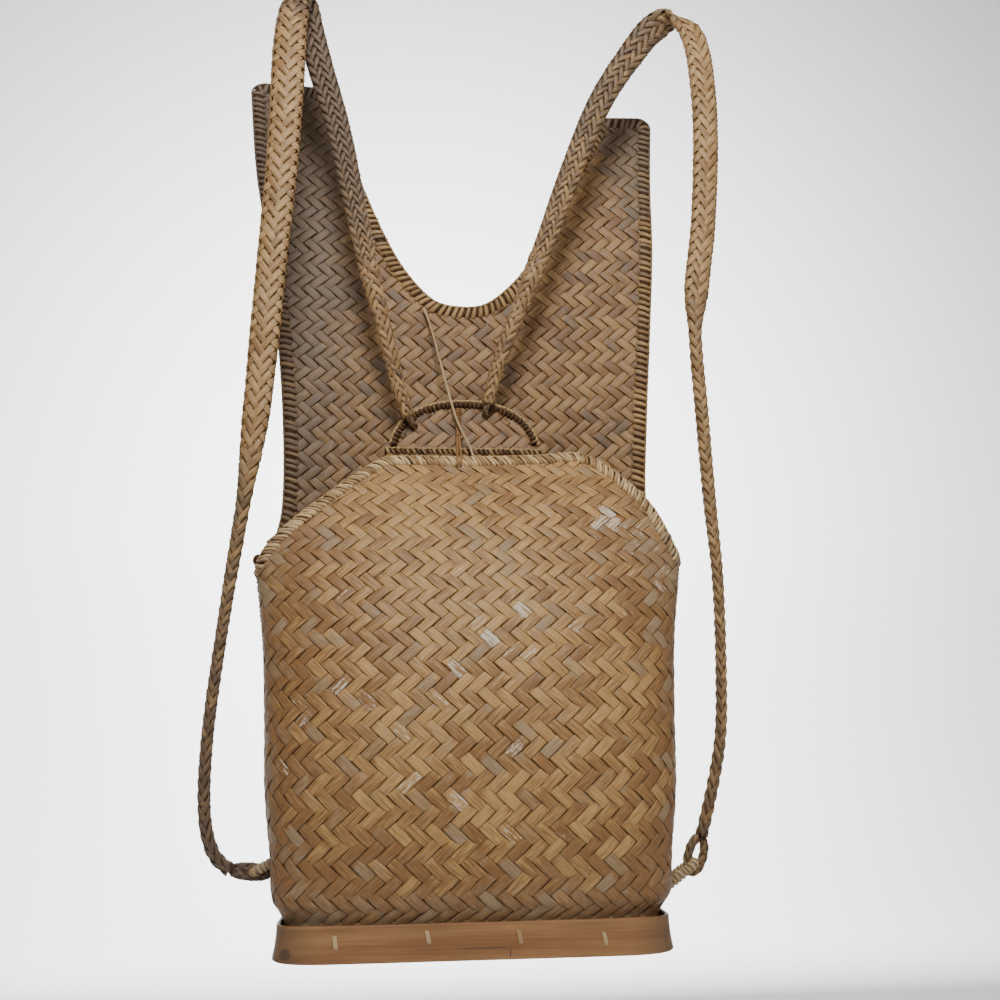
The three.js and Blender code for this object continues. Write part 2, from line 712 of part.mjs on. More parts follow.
function yokeTab() {
  const low = rimHeight - yokeDrop;
  const arch = insetLine(yokeArch(archSteps), yokeRollWidth + gap)
    .filter(([, z]) => z > rimHeight + yokeFoot);
  const outline = [[arch[0][0], low], [arch[arch.length - 1][0], low], ...[...arch].reverse()];
  let tab = standingSheet(outline, yokeDepth, low - wall, rimHeight + yokeFoot + yokeRise,
    yokeHalfWidth, yokeShift, 8);
  for (const { centre, inward } of [leftLash, rightLash]) {
    const hole = new THREE.CylinderGeometry(lashTube + 2 * gap, lashTube + 2 * gap, 8 * wall, 12);
    const place = centre.clone().addScaledVector(inward, lashRadius);
    hole.translate(place.x, place.y, place.z);
    tab = tab.subtract(toSolid(hole));
  }
  return fromSolid(tab);
}

function yokeBinding() {
  const line = archCentre.filter(([, z]) => z > facingTop + yokeRollWidth / 2);
  return bindingGeometry(line, yokeDepth, yokeRollWidth, yokeRollDepth);
}

// Wrapped tie from the yoke's arch down over both rims
function yokeTie() {
  const off = gap + tieThickness / 2 + leanRoom / 2;
  const archUnderside = rimHeight + yokeFoot + yokeRise - yokeRollWidth - gap;
  const facingMid = facingTop - facingRollWidth / 2;
  const rimMid = rimHeight - rimRollWidth / 2;
  const x = tieShift;
  const points = [
    [x, yokeDepth(x, archUnderside) - wall / 2 - off, archUnderside - tieSlack],
    [x, yokeDepth(x, facingTop) - wall / 2 - off - tieSlack, facingTop + tieBend],
    [x, facingDepth(x, facingMid) - facingRollDepth / 2 - off, facingTop + tieSlack],
    [x, nearDepth(x, facingMid) - rimRollDepth / 2 - off, rimHeight + tieTail],
    [x, nearDepth(x, rimMid) - rimRollDepth / 2 - off, rimMid],
    [x, nearDepth(x, rimMid) - rimRollDepth / 2 - off - tieTail / 2, rimMid - rimRollWidth / 2 - tieTail],
  ].map((p) => new THREE.Vector3(...p));
  const curve = new THREE.CatmullRomCurve3(points, false, 'centripetal');
  const steps = 14;
  const acrossBag = new THREE.Vector3(1, 0, 0);
  const rings = curve.getSpacedPoints(steps).map((p, i) => {
    const outward = curve.getTangentAt(i / steps).cross(acrossBag).normalize();
    return ovalRing(p, acrossBag, outward, tieWidth, tieThickness, 6);
  });
  return tubeGeometry(rings);
}

// A ring of round tube lying in the plane of two directions
function ringGeometry(centre, longWay, shortWay, long, short, tube, steps = 20) {
  const rings = [];
  const across = longWay.clone().cross(shortWay).normalize();
  for (let i = 0; i < steps; i += 1) {
    const angle = (2 * Math.PI * i) / steps;
    const out = longWay.clone().multiplyScalar(Math.cos(angle) * short)
      .addScaledVector(shortWay, Math.sin(angle) * long).normalize();
    const p = centre.clone().addScaledVector(longWay, Math.cos(angle) * long)
      .addScaledVector(shortWay, Math.sin(angle) * short);
    rings.push(ovalRing(p, out, across, 2 * tube, 2 * tube, 8));
  }
  return tubeGeometry(rings, true);
}

// Rings of the strap's solid for each point of its route, so that one always sits at the crown
const strapRingsPerPoint = 2;

// Points of one strap: from the front of its lashing over the crown to the loop at the eyelet
function strapRoute({ innerLeg, outerLeg, lash, crownShift, tip, side }) {
  const start = lash.centre.clone().setY(lash.centre.y - lashRadius);
  const crown = new THREE.Vector3(crownShift, crownDepth, crownHeight);
  const span = crown.clone().sub(start);
  const rising = innerLeg.map(({ rise, across, deep }) => (
    new THREE.Vector3(across, deep, rise).multiply(span).add(start)));
  const falling = outerLeg.map(({ rise, across, deep }) => new THREE.Vector3(
    side * across * seamHalfWidth,
    -deep * pouchHalfDepth,
    tip.z + rise * (crownHeight - tip.z),
  ));
  return [...rising, crown, ...falling];
}

function strapBody(route) {
  const curve = new THREE.CatmullRomCurve3(route, false, 'centripetal');
  const bagSide = new THREE.Vector3(-1, 0, 0);
  const value = (at, column) => {
    const stepEnd = ropeShape[0].along;
    const stepStart = strapShape[strapShape.length - 1].along;
    const strap = readColumn(strapShape, 'along', at, column);
    const rope = readColumn(ropeShape, 'along', at, column);
    const own = { width: [strapWidth, ropeDiameter], thick: [strapThickness, ropeDiameter] };
    const t = THREE.MathUtils.smoothstep(at, stepStart, stepEnd);
    return strap * own[column][0] * (1 - t) + rope * own[column][1] * t;
  };
  const steps = strapRingsPerPoint * (route.length - 1);
  const lengths = curve.getLengths(steps);
  const rings = [];
  for (let i = 0; i <= steps; i += 1) {
    const at = lengths[i] / lengths[steps];
    const tangent = curve.getTangent(i / steps);
    const wide = bagSide.clone().addScaledVector(tangent, -tangent.dot(bagSide)).normalize();
    const thick = wide.clone().cross(tangent).normalize();
    const centre = curve.getPoint(i / steps);
    rings.push(ovalRing(centre, wide, thick, value(at, 'width'), value(at, 'thick'), 8));
  }
  return toSolid(tubeGeometry(rings));
}

// Each eyelet's place in the front view: its root inside the side wall and its outer tip
const eyeletDepth = -0.06 * pouchHalfDepth;
const eyeletRoot = 0.82 * seamHalfWidth;
const eyelets = {
  left: {
    root: new THREE.Vector3(-eyeletRoot, eyeletDepth, bandHeight + eyeletRise + leftRootRise),
    tip: new THREE.Vector3(-0.95 * seamHalfWidth, eyeletDepth, bandHeight + eyeletRise),
  },
  right: {
    root: new THREE.Vector3(eyeletRoot, eyeletDepth, bandHeight + eyeletRise - rightRootDrop),
    tip: new THREE.Vector3(seamHalfWidth, eyeletDepth, bandHeight + eyeletRise),
  },
};

// The space that the lower pouch fills, with the clearance that its fittings keep
function pouchCore() {
  const spread = wall / 2 + 2 * gap;
  const steps = 96;
  const levels = seamRows.filter((rise) => rise >= bandTop && rise < 0.5);
  const rings = levels.map((rise) => {
    const z = rise * seamHeight;
    return Array.from({ length: steps }, (_p, k) => {
      const angle = (2 * Math.PI * (k + 0.5)) / steps;
      const s = sectionAt(Math.sin(angle) > 0 ? farSections : nearSections, z);
      const share = (value) => Math.sign(value) * Math.abs(value) ** (2 / s.square);
      return new THREE.Vector3((s.half + spread) * share(Math.cos(angle)),
        s.edge + (s.reach + spread) * share(Math.sin(angle)), z);
    });
  });
  return toSolid(tubeGeometry(rings));
}

function eyelet({ root, tip }) {
  const half = new THREE.Vector3(0, eyeletSpacing / 2, 0);
  const way = tip.clone().sub(root).normalize();
  const bend = tip.clone().addScaledVector(way, -eyeletSpacing / 2);
  const rings = [];
  const bendSteps = 10;
  const ringAt = (p, out) => {
    const side = out.clone().cross(new THREE.Vector3(-way.z, 0, way.x)).normalize();
    return ovalRing(p, new THREE.Vector3(-way.z, 0, way.x), side, 2 * eyeletTube, 2 * eyeletTube, 8);
  };
  rings.push(ringAt(root.clone().sub(half), way));
  for (let i = 0; i <= bendSteps; i += 1) {
    const angle = (Math.PI * i) / bendSteps;
    const p = bend.clone()
      .addScaledVector(way, (eyeletSpacing / 2) * Math.sin(angle))
      .addScaledVector(half, -Math.cos(angle));
    const out = way.clone().multiplyScalar(Math.cos(angle))
      .addScaledVector(new THREE.Vector3(0, 1, 0), Math.sin(angle));
    rings.push(ringAt(p, out));
  }
  rings.push(ringAt(root.clone().add(half), way.clone().negate()));
  return fromSolid(toSolid(tubeGeometry(rings)).subtract(pouchCore()));
}

function strap(place) {
  const { lash, tip } = place;
  const route = strapRoute(place);
  const last = route[route.length - 1];
  const pull = last.clone().sub(tip).setY(0).normalize();
  const across = new THREE.Vector3(-pull.z, 0, pull.x);
  const centre = last.clone().addScaledVector(pull, -loopLong).setY(tip.y);
  const loop = ringGeometry(centre, pull, across, loopLong, loopShort, loopTube);
  const lashing = ringGeometry(lash.centre, lash.inward, new THREE.Vector3(0, 1, 0),
    lashRadius, lashRadius, lashTube, 16);
  return fromSolid(strapBody(route).add(toSolid(loop)).add(toSolid(lashing)));
}

addPiece('base_band', baseBand(), material.wood());
addPiece('floor_mat', floorMat(), material.straw());
addPiece('front_shell', frontShell(), material.straw());
addPiece('back_panel', backPanel(), material.flap());
addPiece('front_rim', frontRim(), material.rim());
addPiece('panel_binding', panelBinding(), material.binding());
addPiece('inner_facing', innerFacing(), material.straw());
addPiece('facing_binding', facingBinding(), material.rim());
addPiece('yoke_tab', yokeTab(), material.flap());
addPiece('yoke_binding', yokeBinding(), material.binding());
addPiece('yoke_tie', yokeTie(), material.binding());
addPiece('strap_left', strap({
  innerLeg: leftInnerLeg, outerLeg: leftOuterLeg, lash: leftLash,
  crownShift: leftCrownShift, tip: eyelets.left.tip, side: -1,
}), material.braid());
addPiece('strap_right', strap({
  innerLeg: rightInnerLeg, outerLeg: rightOuterLeg, lash: rightLash,
  crownShift: rightCrownShift, tip: eyelets.right.tip, side: 1,
}), material.braid());
addPiece('eyelet_left', eyelet(eyelets.left), material.eyelet());
addPiece('eyelet_right', eyelet(eyelets.right), material.eyelet());

export default bag;
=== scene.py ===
# %% [markdown]
# # A woven straw backpack
# The bag is plaited from split palm leaf: a bulging pouch on a bent wooden band, a tall rear flap
# with two ears, and two braided shoulder straps. Almost everything on it is one thing repeated,
# a flat strip that goes over two others and under two. So this lesson first builds the surfaces
# that the strips lie on, then lets real strips run over and under each other on them.

# %% Load the fixed frame
import math

import bpy
import numpy as np
from mathutils import Matrix, Vector


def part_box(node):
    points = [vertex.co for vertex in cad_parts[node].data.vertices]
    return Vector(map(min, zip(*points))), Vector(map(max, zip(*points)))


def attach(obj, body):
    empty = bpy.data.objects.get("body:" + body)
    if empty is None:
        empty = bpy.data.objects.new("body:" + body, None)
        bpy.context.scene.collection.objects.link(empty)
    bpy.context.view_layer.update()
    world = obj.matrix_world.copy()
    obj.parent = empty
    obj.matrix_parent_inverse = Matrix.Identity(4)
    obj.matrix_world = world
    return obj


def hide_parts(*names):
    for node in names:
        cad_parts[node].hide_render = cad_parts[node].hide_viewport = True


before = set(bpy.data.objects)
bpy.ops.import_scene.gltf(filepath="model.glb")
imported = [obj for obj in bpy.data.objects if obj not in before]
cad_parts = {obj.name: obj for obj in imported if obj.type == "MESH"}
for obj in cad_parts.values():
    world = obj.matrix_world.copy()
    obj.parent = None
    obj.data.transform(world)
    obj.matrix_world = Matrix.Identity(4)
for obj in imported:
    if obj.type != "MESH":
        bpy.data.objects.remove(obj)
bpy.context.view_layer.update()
print("frame loaded:", len(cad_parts), "pieces")

# %% [markdown]
# ## Camera, floor and light
# The photograph looks up at the bag from close by, a little to the left of its middle and only a
# hand above its foot, so near parts look larger and the straps spread towards the top. The camera
# comes first, because everything else is judged through it. A pale sweep that curves up behind
# the bag is simpler than a floor and a wall, and leaves no line between them.

# %% Places that everything is measured from
band_low, band_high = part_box("base_band")
foot_z = band_low[2]
middle_y = (band_low[1] + band_high[1]) / 2
foot = np.array([0.0, middle_y, foot_z])
print("foot of the bag at", np.round(foot, 4))

# %% Camera
eye = foot + np.array([-0.040, -0.710, 0.128])
yaw, pitch, roll = (math.radians(a) for a in (5.0, 14.1, -0.7))
focal_share = 0.982
sensor_width = 36.0

ahead = np.array([math.sin(yaw) * math.cos(pitch), math.cos(yaw) * math.cos(pitch), math.sin(pitch)])
level = np.array([math.cos(yaw), -math.sin(yaw), 0.0])
lift = np.cross(level, ahead)
right = level * math.cos(roll) + lift * math.sin(roll)
above = lift * math.cos(roll) - level * math.sin(roll)

lens = bpy.data.cameras.new("view")
lens.sensor_width = sensor_width
lens.lens = focal_share * sensor_width
lens.clip_start = 0.02
lens.clip_end = 60.0
camera = bpy.data.objects.new("view", lens)
bpy.context.scene.collection.objects.link(camera)
camera.matrix_world = Matrix([
    [right[0], above[0], -ahead[0], eye[0]],
    [right[1], above[1], -ahead[1], eye[1]],
    [right[2], above[2], -ahead[2], eye[2]],
    [0, 0, 0, 1],
])
bpy.context.scene.camera = camera
print("camera at", np.round(eye, 3))


# %% Small helpers for modelling by hand
def only(piece):
    """Selects one object and nothing else."""
    bpy.ops.object.select_all(action="DESELECT")
    piece.select_set(True)
    bpy.context.view_layer.objects.active = piece


def settle(piece):
    """Puts a finished piece's place into its mesh."""
    only(piece)
    bpy.ops.object.transform_apply(location=True, rotation=True, scale=True)
    return piece


def add_modifier(piece, kind, **values):
    """Adds a modifier and applies it at once."""
    modifier = piece.modifiers.new(kind.lower(), kind)
    for key, value in values.items():
        setattr(modifier, key, value)
    only(piece)
    bpy.ops.object.modifier_apply(modifier=modifier.name)


print("modelling helpers ready")

# %% Floor: a plane whose far edge is pulled up and rounded
sweep_size = 14.0
sweep_drop = 0.75
sweep_height = 10.0
sweep_rounding = 2.5
bpy.ops.object.select_all(action="DESELECT")
bpy.ops.mesh.primitive_plane_add(size=sweep_size, location=(0, 0, foot_z - sweep_drop))
sweep = bpy.context.object
sweep.name = "floor_sweep"
bpy.ops.object.mode_set(mode="EDIT")
bpy.ops.mesh.select_mode(type="EDGE")
bpy.ops.mesh.select_all(action="DESELECT")
bpy.ops.object.mode_set(mode="OBJECT")
for edge in sweep.data.edges:
    edge.select = all(sweep.data.vertices[i].co.y > 0 for i in edge.vertices)
bpy.ops.object.mode_set(mode="EDIT")
bpy.ops.mesh.extrude_region_move(TRANSFORM_OT_translate={"value": (0, 0, sweep_height)})
bpy.ops.object.mode_set(mode="OBJECT")
for edge in sweep.data.edges:
    edge.select = all(v.co.y > 0 and v.co.z < 1e-3 for v in (sweep.data.vertices[i] for i in edge.vertices))
bpy.ops.object.mode_set(mode="EDIT")
bpy.ops.mesh.bevel(offset=sweep_rounding, segments=24)
bpy.ops.object.mode_set(mode="OBJECT")
sweep.data.shade_smooth()
settle(sweep)

pale = bpy.data.materials.new("pale_sweep")
pale.use_nodes = True
pale_shader = pale.node_tree.nodes["Principled BSDF"]
pale_shader.inputs["Base Color"].default_value = (0.9, 0.9, 0.9, 1)
pale_shader.inputs["Roughness"].default_value = 0.9
sweep.data.materials.append(pale)
print("sweep faces:", len(sweep.data.polygons))


# %% Soft studio light
def soft_light(name, place, size, power, aim=(0, 0, -0.35)):
    """A square area light that looks at a point of the bag."""
    lamp = bpy.data.lights.new(name, "AREA")
    lamp.size = size
    lamp.energy = power
    holder = bpy.data.objects.new(name, lamp)
    bpy.context.scene.collection.objects.link(holder)
    holder.location = place
    holder.rotation_euler = (Vector(aim) - Vector(place)).to_track_quat("-Z", "Y").to_euler()
    return holder


# Each light: its place, its size in metres, its power in watts and the point that it looks at
soft_light("key_above_front", (-0.03, -0.9, 0.36), 0.4, 15.5, (0, 0, -0.38))
soft_light("fill_right", (1.7, -1.3, 0.1), 1.4, 4)
soft_light("fill_low", (-0.6, -1.9, -1.1), 1.8, 1.5)
soft_light("fill_behind", (0.2, 2.2, 0.9), 2.0, 28)
soft_light("wall_wash", (0, 2.4, 1.6), 4.0, 1500, (0, 7.0, 2.6))
sky = bpy.data.worlds.new("pale_room")
sky.use_nodes = True
sky_shader = sky.node_tree.nodes["Background"]
sky_shader.inputs["Color"].default_value = (1.0, 0.99, 0.97, 1)
sky_shader.inputs["Strength"].default_value = 0.24
bpy.context.scene.world = sky
print("lights set")

# %% [markdown]
# ## The walls as numbers
# The pouch has two walls that meet in a laced seam at each side. A wall is a stack of plan curves:
# every height has a half width, the depth of the seam, how far the wall reaches out, and how
# square its corners are. The numbers are shares of a few real sizes, so the wall could be woven
# larger or flatter by changing one of them. They are the sizes of the frame's own walls.

# %% Sizes of the bag in metres, measured from its foot
wall = 0.002
gap = 0.0003
band_wall = 0.0026
band_height = band_high[2] - band_low[2]
half_band_width = (band_high[0] - band_low[0]) / 2
half_band_depth = (band_high[1] - band_low[1]) / 2
band_squareness = 4.5
seam_height = 0.258
rim_height = 0.346
seam_half = 0.1535
pouch_half_depth = 0.054
left_ear, right_ear = 0.692, 0.674
ear_corner = 0.013
neck_low = 0.487
neck_shift = 0.004
neck_half = 0.120
band_slack = 0.0006
in_band = band_wall + gap + band_slack + wall / 2
foot_half = (half_band_width - in_band) / seam_half
foot_reach = (half_band_depth - in_band) / pouch_half_depth
band_top = (band_height + 2 * gap) / seam_height
print("foot shares:", round(foot_half, 3), round(foot_reach, 3))

# %% Tables of sections
# Each row of a wall: rise, half width, depth of its edge, reach and squareness, as shares
near_sections = [
    (0, foot_half, 0, foot_reach, band_squareness),
    (band_top, foot_half + 0.005, 0, foot_reach, band_squareness),
    (band_top + 0.045, 0.85, 0, 1.06, 4.2),
    (0.235, 0.87, 0, 1.17, 3.7),
    (0.39, 0.905, 0, 1.22, 3.4),
    (0.58, 0.925, 0, 1.13, 3.1),
    (0.78, 0.952, -0.02, 0.91, 2.8),
    (1.0, 1.0, -0.07, 0.5, 2.6),
    (1.17, 1.03, 0.15, 0.34, 2.6),
    (1.34, 1.06, 0.39, 0.12, 2.6),
    (1.45, 1.08, 0.45, 0.08, 2.6),
    (1.6, 1.1, 0.46, 0.07, 2.6),
]
far_sections = [
    (0, foot_half, 0, foot_reach, band_squareness),
    (band_top, foot_half + 0.005, 0, foot_reach, band_squareness),
    (band_top + 0.045, 0.85, 0, 0.98, 4.3),
    (0.235, 0.87, 0, 1.0, 4.2),
    (0.39, 0.905, 0, 1.0, 4.1),
    (0.58, 0.925, 0, 0.98, 4),
    (0.78, 0.952, -0.02, 0.97, 4),
    (1.0, 1.0, -0.07, 0.98, 4),
    (1.16, 1.05, -0.07, 0.99, 4),
    (1.5, 1.17, -0.07, 1.0, 4),
    (1.9, 1.32, -0.07, 1.02, 4),
    (2.8, 1.6, -0.07, 1.04, 4),
]
# Half width of the flap at the left and at the right, by rise
flap_sides = [
    (1.0, 1.0, 1.0), (1.06, 0.975, 0.98), (1.2, 0.935, 0.93), (1.5, 0.955, 0.96), (1.8, 1.01, 1.005),
    (2.1, 1.085, 1.045), (2.35, 1.16, 1.055), (2.7, 1.22, 1.09),
]
# The rim's upper line and the neckline, as shares across and up
rim_line = [
    (-1.02, -0.08), (-0.97, 0.08), (-0.86, 0.31), (-0.68, 0.6), (-0.45, 0.94), (-0.34, 0.98),
    (0.0, 0.98), (0.36, 1.01), (0.52, 1.04), (0.62, 1.0), (0.77, 0.78), (0.9, 0.48), (0.975, 0.16),
    (1.02, 0.0),
]
neckline = [
    (-1.0, 1.0), (-0.87, 0.7), (-0.7, 0.43), (-0.5, 0.19), (-0.28, 0.035), (-0.1, 0.0), (0.1, 0.015),
    (0.28, 0.11), (0.43, 0.24), (0.56, 0.44), (0.79, 0.76), (0.97, 1.0),
]
print("the walls have", len(near_sections), "and", len(far_sections), "plan curves")


# %% Reading a table smoothly
def read(table, at, column):
    """Smooth values of one column at given places of the first, by cubic pieces."""
    rows = np.array(table, float)
    key, value = rows[:, 0], rows[:, column]
    before = np.concatenate([key[:1], key[:-1]])
    after = np.concatenate([key[1:], key[-1:]])
    low = np.concatenate([value[:1], value[:-1]])
    high = np.concatenate([value[1:], value[-1:]])
    slope = (high - low) / (after - before)
    at = np.clip(np.asarray(at, float), key[0], key[-1])
    i = np.clip(np.searchsorted(key, at, side="right") - 1, 0, len(key) - 2)
    span = key[i + 1] - key[i]
    t = (at - key[i]) / span
    keep = 2 * t**3 - 3 * t**2 + 1
    return (keep * value[i] + (1 - keep) * value[i + 1]
            + (t**3 - 2 * t**2 + t) * span * slope[i] + (t**3 - t**2) * span * slope[i + 1])


def depth_of(table, facing, x, z):
    """Depth of a wall over a point of the front view; facing is -1 in front and 1 behind."""
    rise = np.asarray(z, float) / seam_height
    half = read(table, rise, 1) * seam_half
    square = read(table, rise, 4)
    share = np.clip(np.abs(x) / half, 0, 1)
    bow = (1 - share**square) ** (1 / square)
    return (read(table, rise, 2) + facing * read(table, rise, 3) * bow) * pouch_half_depth


def near_depth(x, z):
    """Depth of the near wall."""
    return depth_of(near_sections, -1, x, z)


def far_depth(x, z):
    """Depth of the far wall."""
    return depth_of(far_sections, 1, x, z)


fullest = 0.1
pouch_depth = float(far_depth(0, fullest) - near_depth(0, fullest))
print("the pouch is", round(1000 * pouch_depth), "mm deep at its fullest")


# %% [markdown]
# ## Laying a flat weave on a curved wall
# A weaver's strips are straight on the flat mat, and the mat then bends round the pouch. To do the
# same, each wall gets a map from flat places, so far across from the middle and so far up, to
# points in space. The distances are measured along the wall, so strips keep their width at the
# bulge and round the corners.

# %% A wall's map
map_rows, map_columns, plan_points = 150, 181, 400


def wall_map(table, facing, low, high, reach, rows=map_rows):
    """Grid of points on a wall, its heights' distances up the middle and the span across."""
    across = np.linspace(-reach, reach, map_columns)
    grid = np.zeros((rows, map_columns, 3))
    for k, z in enumerate(np.linspace(low, high, rows)):
        half, edge, out, square = (float(read(table, z / seam_height, c)) for c in (1, 2, 3, 4))
        angle = np.linspace(0, math.pi, plan_points)
        x = -np.sign(np.cos(angle)) * np.abs(np.cos(angle)) ** (2 / square) * half * seam_half
        y = (edge + facing * out * np.abs(np.sin(angle)) ** (2 / square)) * pouch_half_depth
        along = np.concatenate([[0], np.cumsum(np.hypot(np.diff(x), np.diff(y)))])
        along -= along[-1] / 2
        grid[k, :, 0] = np.interp(across, along, x)
        grid[k, :, 1] = np.interp(across, along, y)
        beyond = np.maximum(np.abs(across) - along[-1], 0)
        grid[k, :, 1] -= facing * beyond
        grid[k, :, 2] = z
    middle = grid[:, map_columns // 2]
    up = np.concatenate([[0], np.cumsum(np.linalg.norm(np.diff(middle, axis=0), axis=1))])
    return grid, up, reach


print("a wall's map has", map_rows, "heights of", map_columns, "places")

# %% A flat mat's map
flat_columns, flat_rows = 41, 21


def flat_map(half_width, half_depth, z):
    """The same kind of map for a flat mat seen from above."""
    x = np.linspace(-half_width, half_width, flat_columns)
    y = np.linspace(-half_depth, half_depth, flat_rows)
    grid = np.zeros((flat_rows, flat_columns, 3))
    grid[..., 0], grid[..., 1] = np.meshgrid(x, y)
    grid[..., 2] = z
    return grid, y - y[0], half_width


print("a flat mat's map has", flat_rows, "rows of", flat_columns, "places")


# %% Reading a place off a map
def place_on(chart, across, up):
    """Points of a wall for flat places."""
    grid, ups, reach = chart
    rows, columns = grid.shape[:2]
    r = np.interp(up, ups, np.arange(rows))
    c = np.clip((across + reach) / (2 * reach), 0, 1) * (columns - 1)
    r0 = np.clip(r.astype(int), 0, rows - 2)
    c0 = np.clip(c.astype(int), 0, columns - 2)
    fr, fc = (r - r0)[..., None], (c - c0)[..., None]
    return ((1 - fr) * (1 - fc) * grid[r0, c0] + (1 - fr) * fc * grid[r0, c0 + 1]
            + fr * (1 - fc) * grid[r0 + 1, c0] + fr * fc * grid[r0 + 1, c0 + 1])


def frame_on(chart, across, up, probe=0.0015):
    """Points of a wall with the directions across, up and out of it."""
    point = place_on(chart, across, up)
    to_right = place_on(chart, across + probe, up) - place_on(chart, across - probe, up)
    to_top = place_on(chart, across, up + probe) - place_on(chart, across, up - probe)
    to_right /= np.linalg.norm(to_right, axis=-1, keepdims=True) + 1e-12
    out = np.cross(to_right, to_top)
    out /= np.linalg.norm(out, axis=-1, keepdims=True) + 1e-12
    return point, to_right, np.cross(out, to_right), out


mat_foot, near_top, far_top, map_reach = 0.003, 0.36, 0.70, 0.235
near_chart = wall_map(near_sections, -1, mat_foot, near_top, map_reach)
far_chart = wall_map(far_sections, 1, mat_foot, far_top, map_reach, rows=260)
print("near wall rises", round(near_chart[1][-1], 3), "m along its middle")

# %% [markdown]
# ## Strips as one joined mesh
# A single strip could be a curve with a bevel, but a wall has hundreds, and hundreds of objects
# are slow and awkward. So every strip is a thin closed ribbon, and a whole wall's ribbons are
# gathered into one mesh. Each strip also writes down its own tone and how worn it is, and a UV
# map that runs along it, so the material can give every strip its own colour and straight grain.

# %% Gathering ribbons
# Section of a strip: place across it, and height above and below its middle
strip_section = np.array([
    (-1.0, 0.0), (-0.72, 0.82), (0.0, 1.05), (0.72, 0.82), (1.0, 0.0), (0.6, -0.8), (-0.6, -0.8),
])


def new_pile():
    """An empty pile of ribbons."""
    return {"points": [], "faces": [], "uv": [], "tone": [], "worn": [], "aged": [], "count": 0}


def add_ribbon(pile, rings, along, tone, worn=0.0, aged=0.0, closed=False, across=None):
    """Adds one ribbon: rings is steps x section points x 3, along the distance of each ring."""
    steps, sides = rings.shape[:2]
    first = pile["count"]
    pile["points"].append(rings.reshape(-1, 3))
    across = strip_section[:, 0] if across is None else across
    u = np.repeat(np.asarray(along), sides)
    v = np.tile((across + 1) / 2, steps)
    pile["uv"].append(np.stack([u, v], axis=1))
    pile["tone"].append(np.repeat(np.broadcast_to(tone, steps), sides))
    pile["worn"].append(np.repeat(np.broadcast_to(worn, steps), sides))
    pile["aged"].append(np.repeat(np.broadcast_to(aged, steps), sides))
    pile["count"] += steps * sides
    spans = steps if closed else steps - 1
    r = np.arange(spans)[:, None]
    s = np.arange(sides)[None, :]
    a = first + r * sides + s
    b = first + r * sides + (s + 1) % sides
    n = (r + 1) % steps
    c = first + n * sides + (s + 1) % sides
    d = first + n * sides + s
    pile["faces"].extend(np.stack([a, d, c, b], axis=-1).reshape(-1, 4).tolist())
    if not closed:
        last = first + (steps - 1) * sides
        pile["faces"].append(list(range(first, first + sides)))
        pile["faces"].append(list(range(last + sides - 1, last - 1, -1)))


print("a strip's section has", len(strip_section), "corners")


# %% Turning a pile into a finished piece
def make_mesh(name, pile):
    """Turns a pile of ribbons into one object at the bag's place, faces out."""
    mesh = bpy.data.meshes.new(name)
    points = np.concatenate(pile["points"]) + foot
    mesh.from_pydata(points.tolist(), [], pile["faces"])
    uv = np.concatenate(pile["uv"])
    corner = np.zeros(len(mesh.loops), np.int32)
    mesh.loops.foreach_get("vertex_index", corner)
    layer = mesh.uv_layers.new(name="strip")
    layer.data.foreach_set("uv", uv[corner].astype(np.float32).ravel())
    for key in ("tone", "worn", "aged"):
        values = mesh.attributes.new(key, "FLOAT", "POINT")
        values.data.foreach_set("value", np.concatenate(pile[key]).astype(np.float32))
    mesh.shade_smooth()
    piece = bpy.data.objects.new(name, mesh)
    bpy.context.scene.collection.objects.link(piece)
    return piece


def finish_piece(piece, material, slot, *nodes):
    """Gives a piece its material and its place on the bag; slot is not used."""
    piece.data.materials.append(material)
    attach(piece, "root")
    if nodes:
        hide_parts(*nodes)
    triangles = sum(len(p.vertices) - 2 for p in piece.data.polygons)
    print(piece.name, "has", triangles, "triangles")
    return piece


# %% [markdown]
# ## The twill
# The strips lie at 42.5 degrees to the foot and each passes over two others, then under two. The
# crossings form a lattice. Where the two counts of a crossing add up to 0 or 1 out of every 4, the
# strip that leans right is on top, and elsewhere the one that leans left. That one rule gives the
# rows of the photograph: a row of short bars leaning right, above a row leaning left.

# %% Weave settings
crossing = 0.00773
lean_angle = math.radians(42.5)
lean_right = np.array([math.cos(lean_angle), math.sin(lean_angle)]) * crossing
lean_left = np.array([-math.cos(lean_angle), math.sin(lean_angle)]) * crossing
strip_half_width = 0.00396
strip_half_thickness = 0.00042
weave_lift = 0.0005
steps_per_crossing = 2
shortest_run = 3
width_spread, side_spread, roll_spread = 0.022, 0.00012, 0.16
grain_offset = 7.0

# Height of a strip through one whole over-and-under, at each half crossing from its first top
float_heights = np.array([0.85, 1.1, 0.85, 0.0, -0.85, -1.1, -0.85, 0.0])


def float_height(count):
    """Height share of a strip at a lattice count, repeating every four crossings."""
    heights = np.append(float_heights, float_heights[0])
    return np.interp(np.mod(count, 4) * steps_per_crossing, np.arange(len(heights)), heights)


print("the weave is about", round(2000 * (weave_lift + strip_half_thickness), 1), "mm thick")


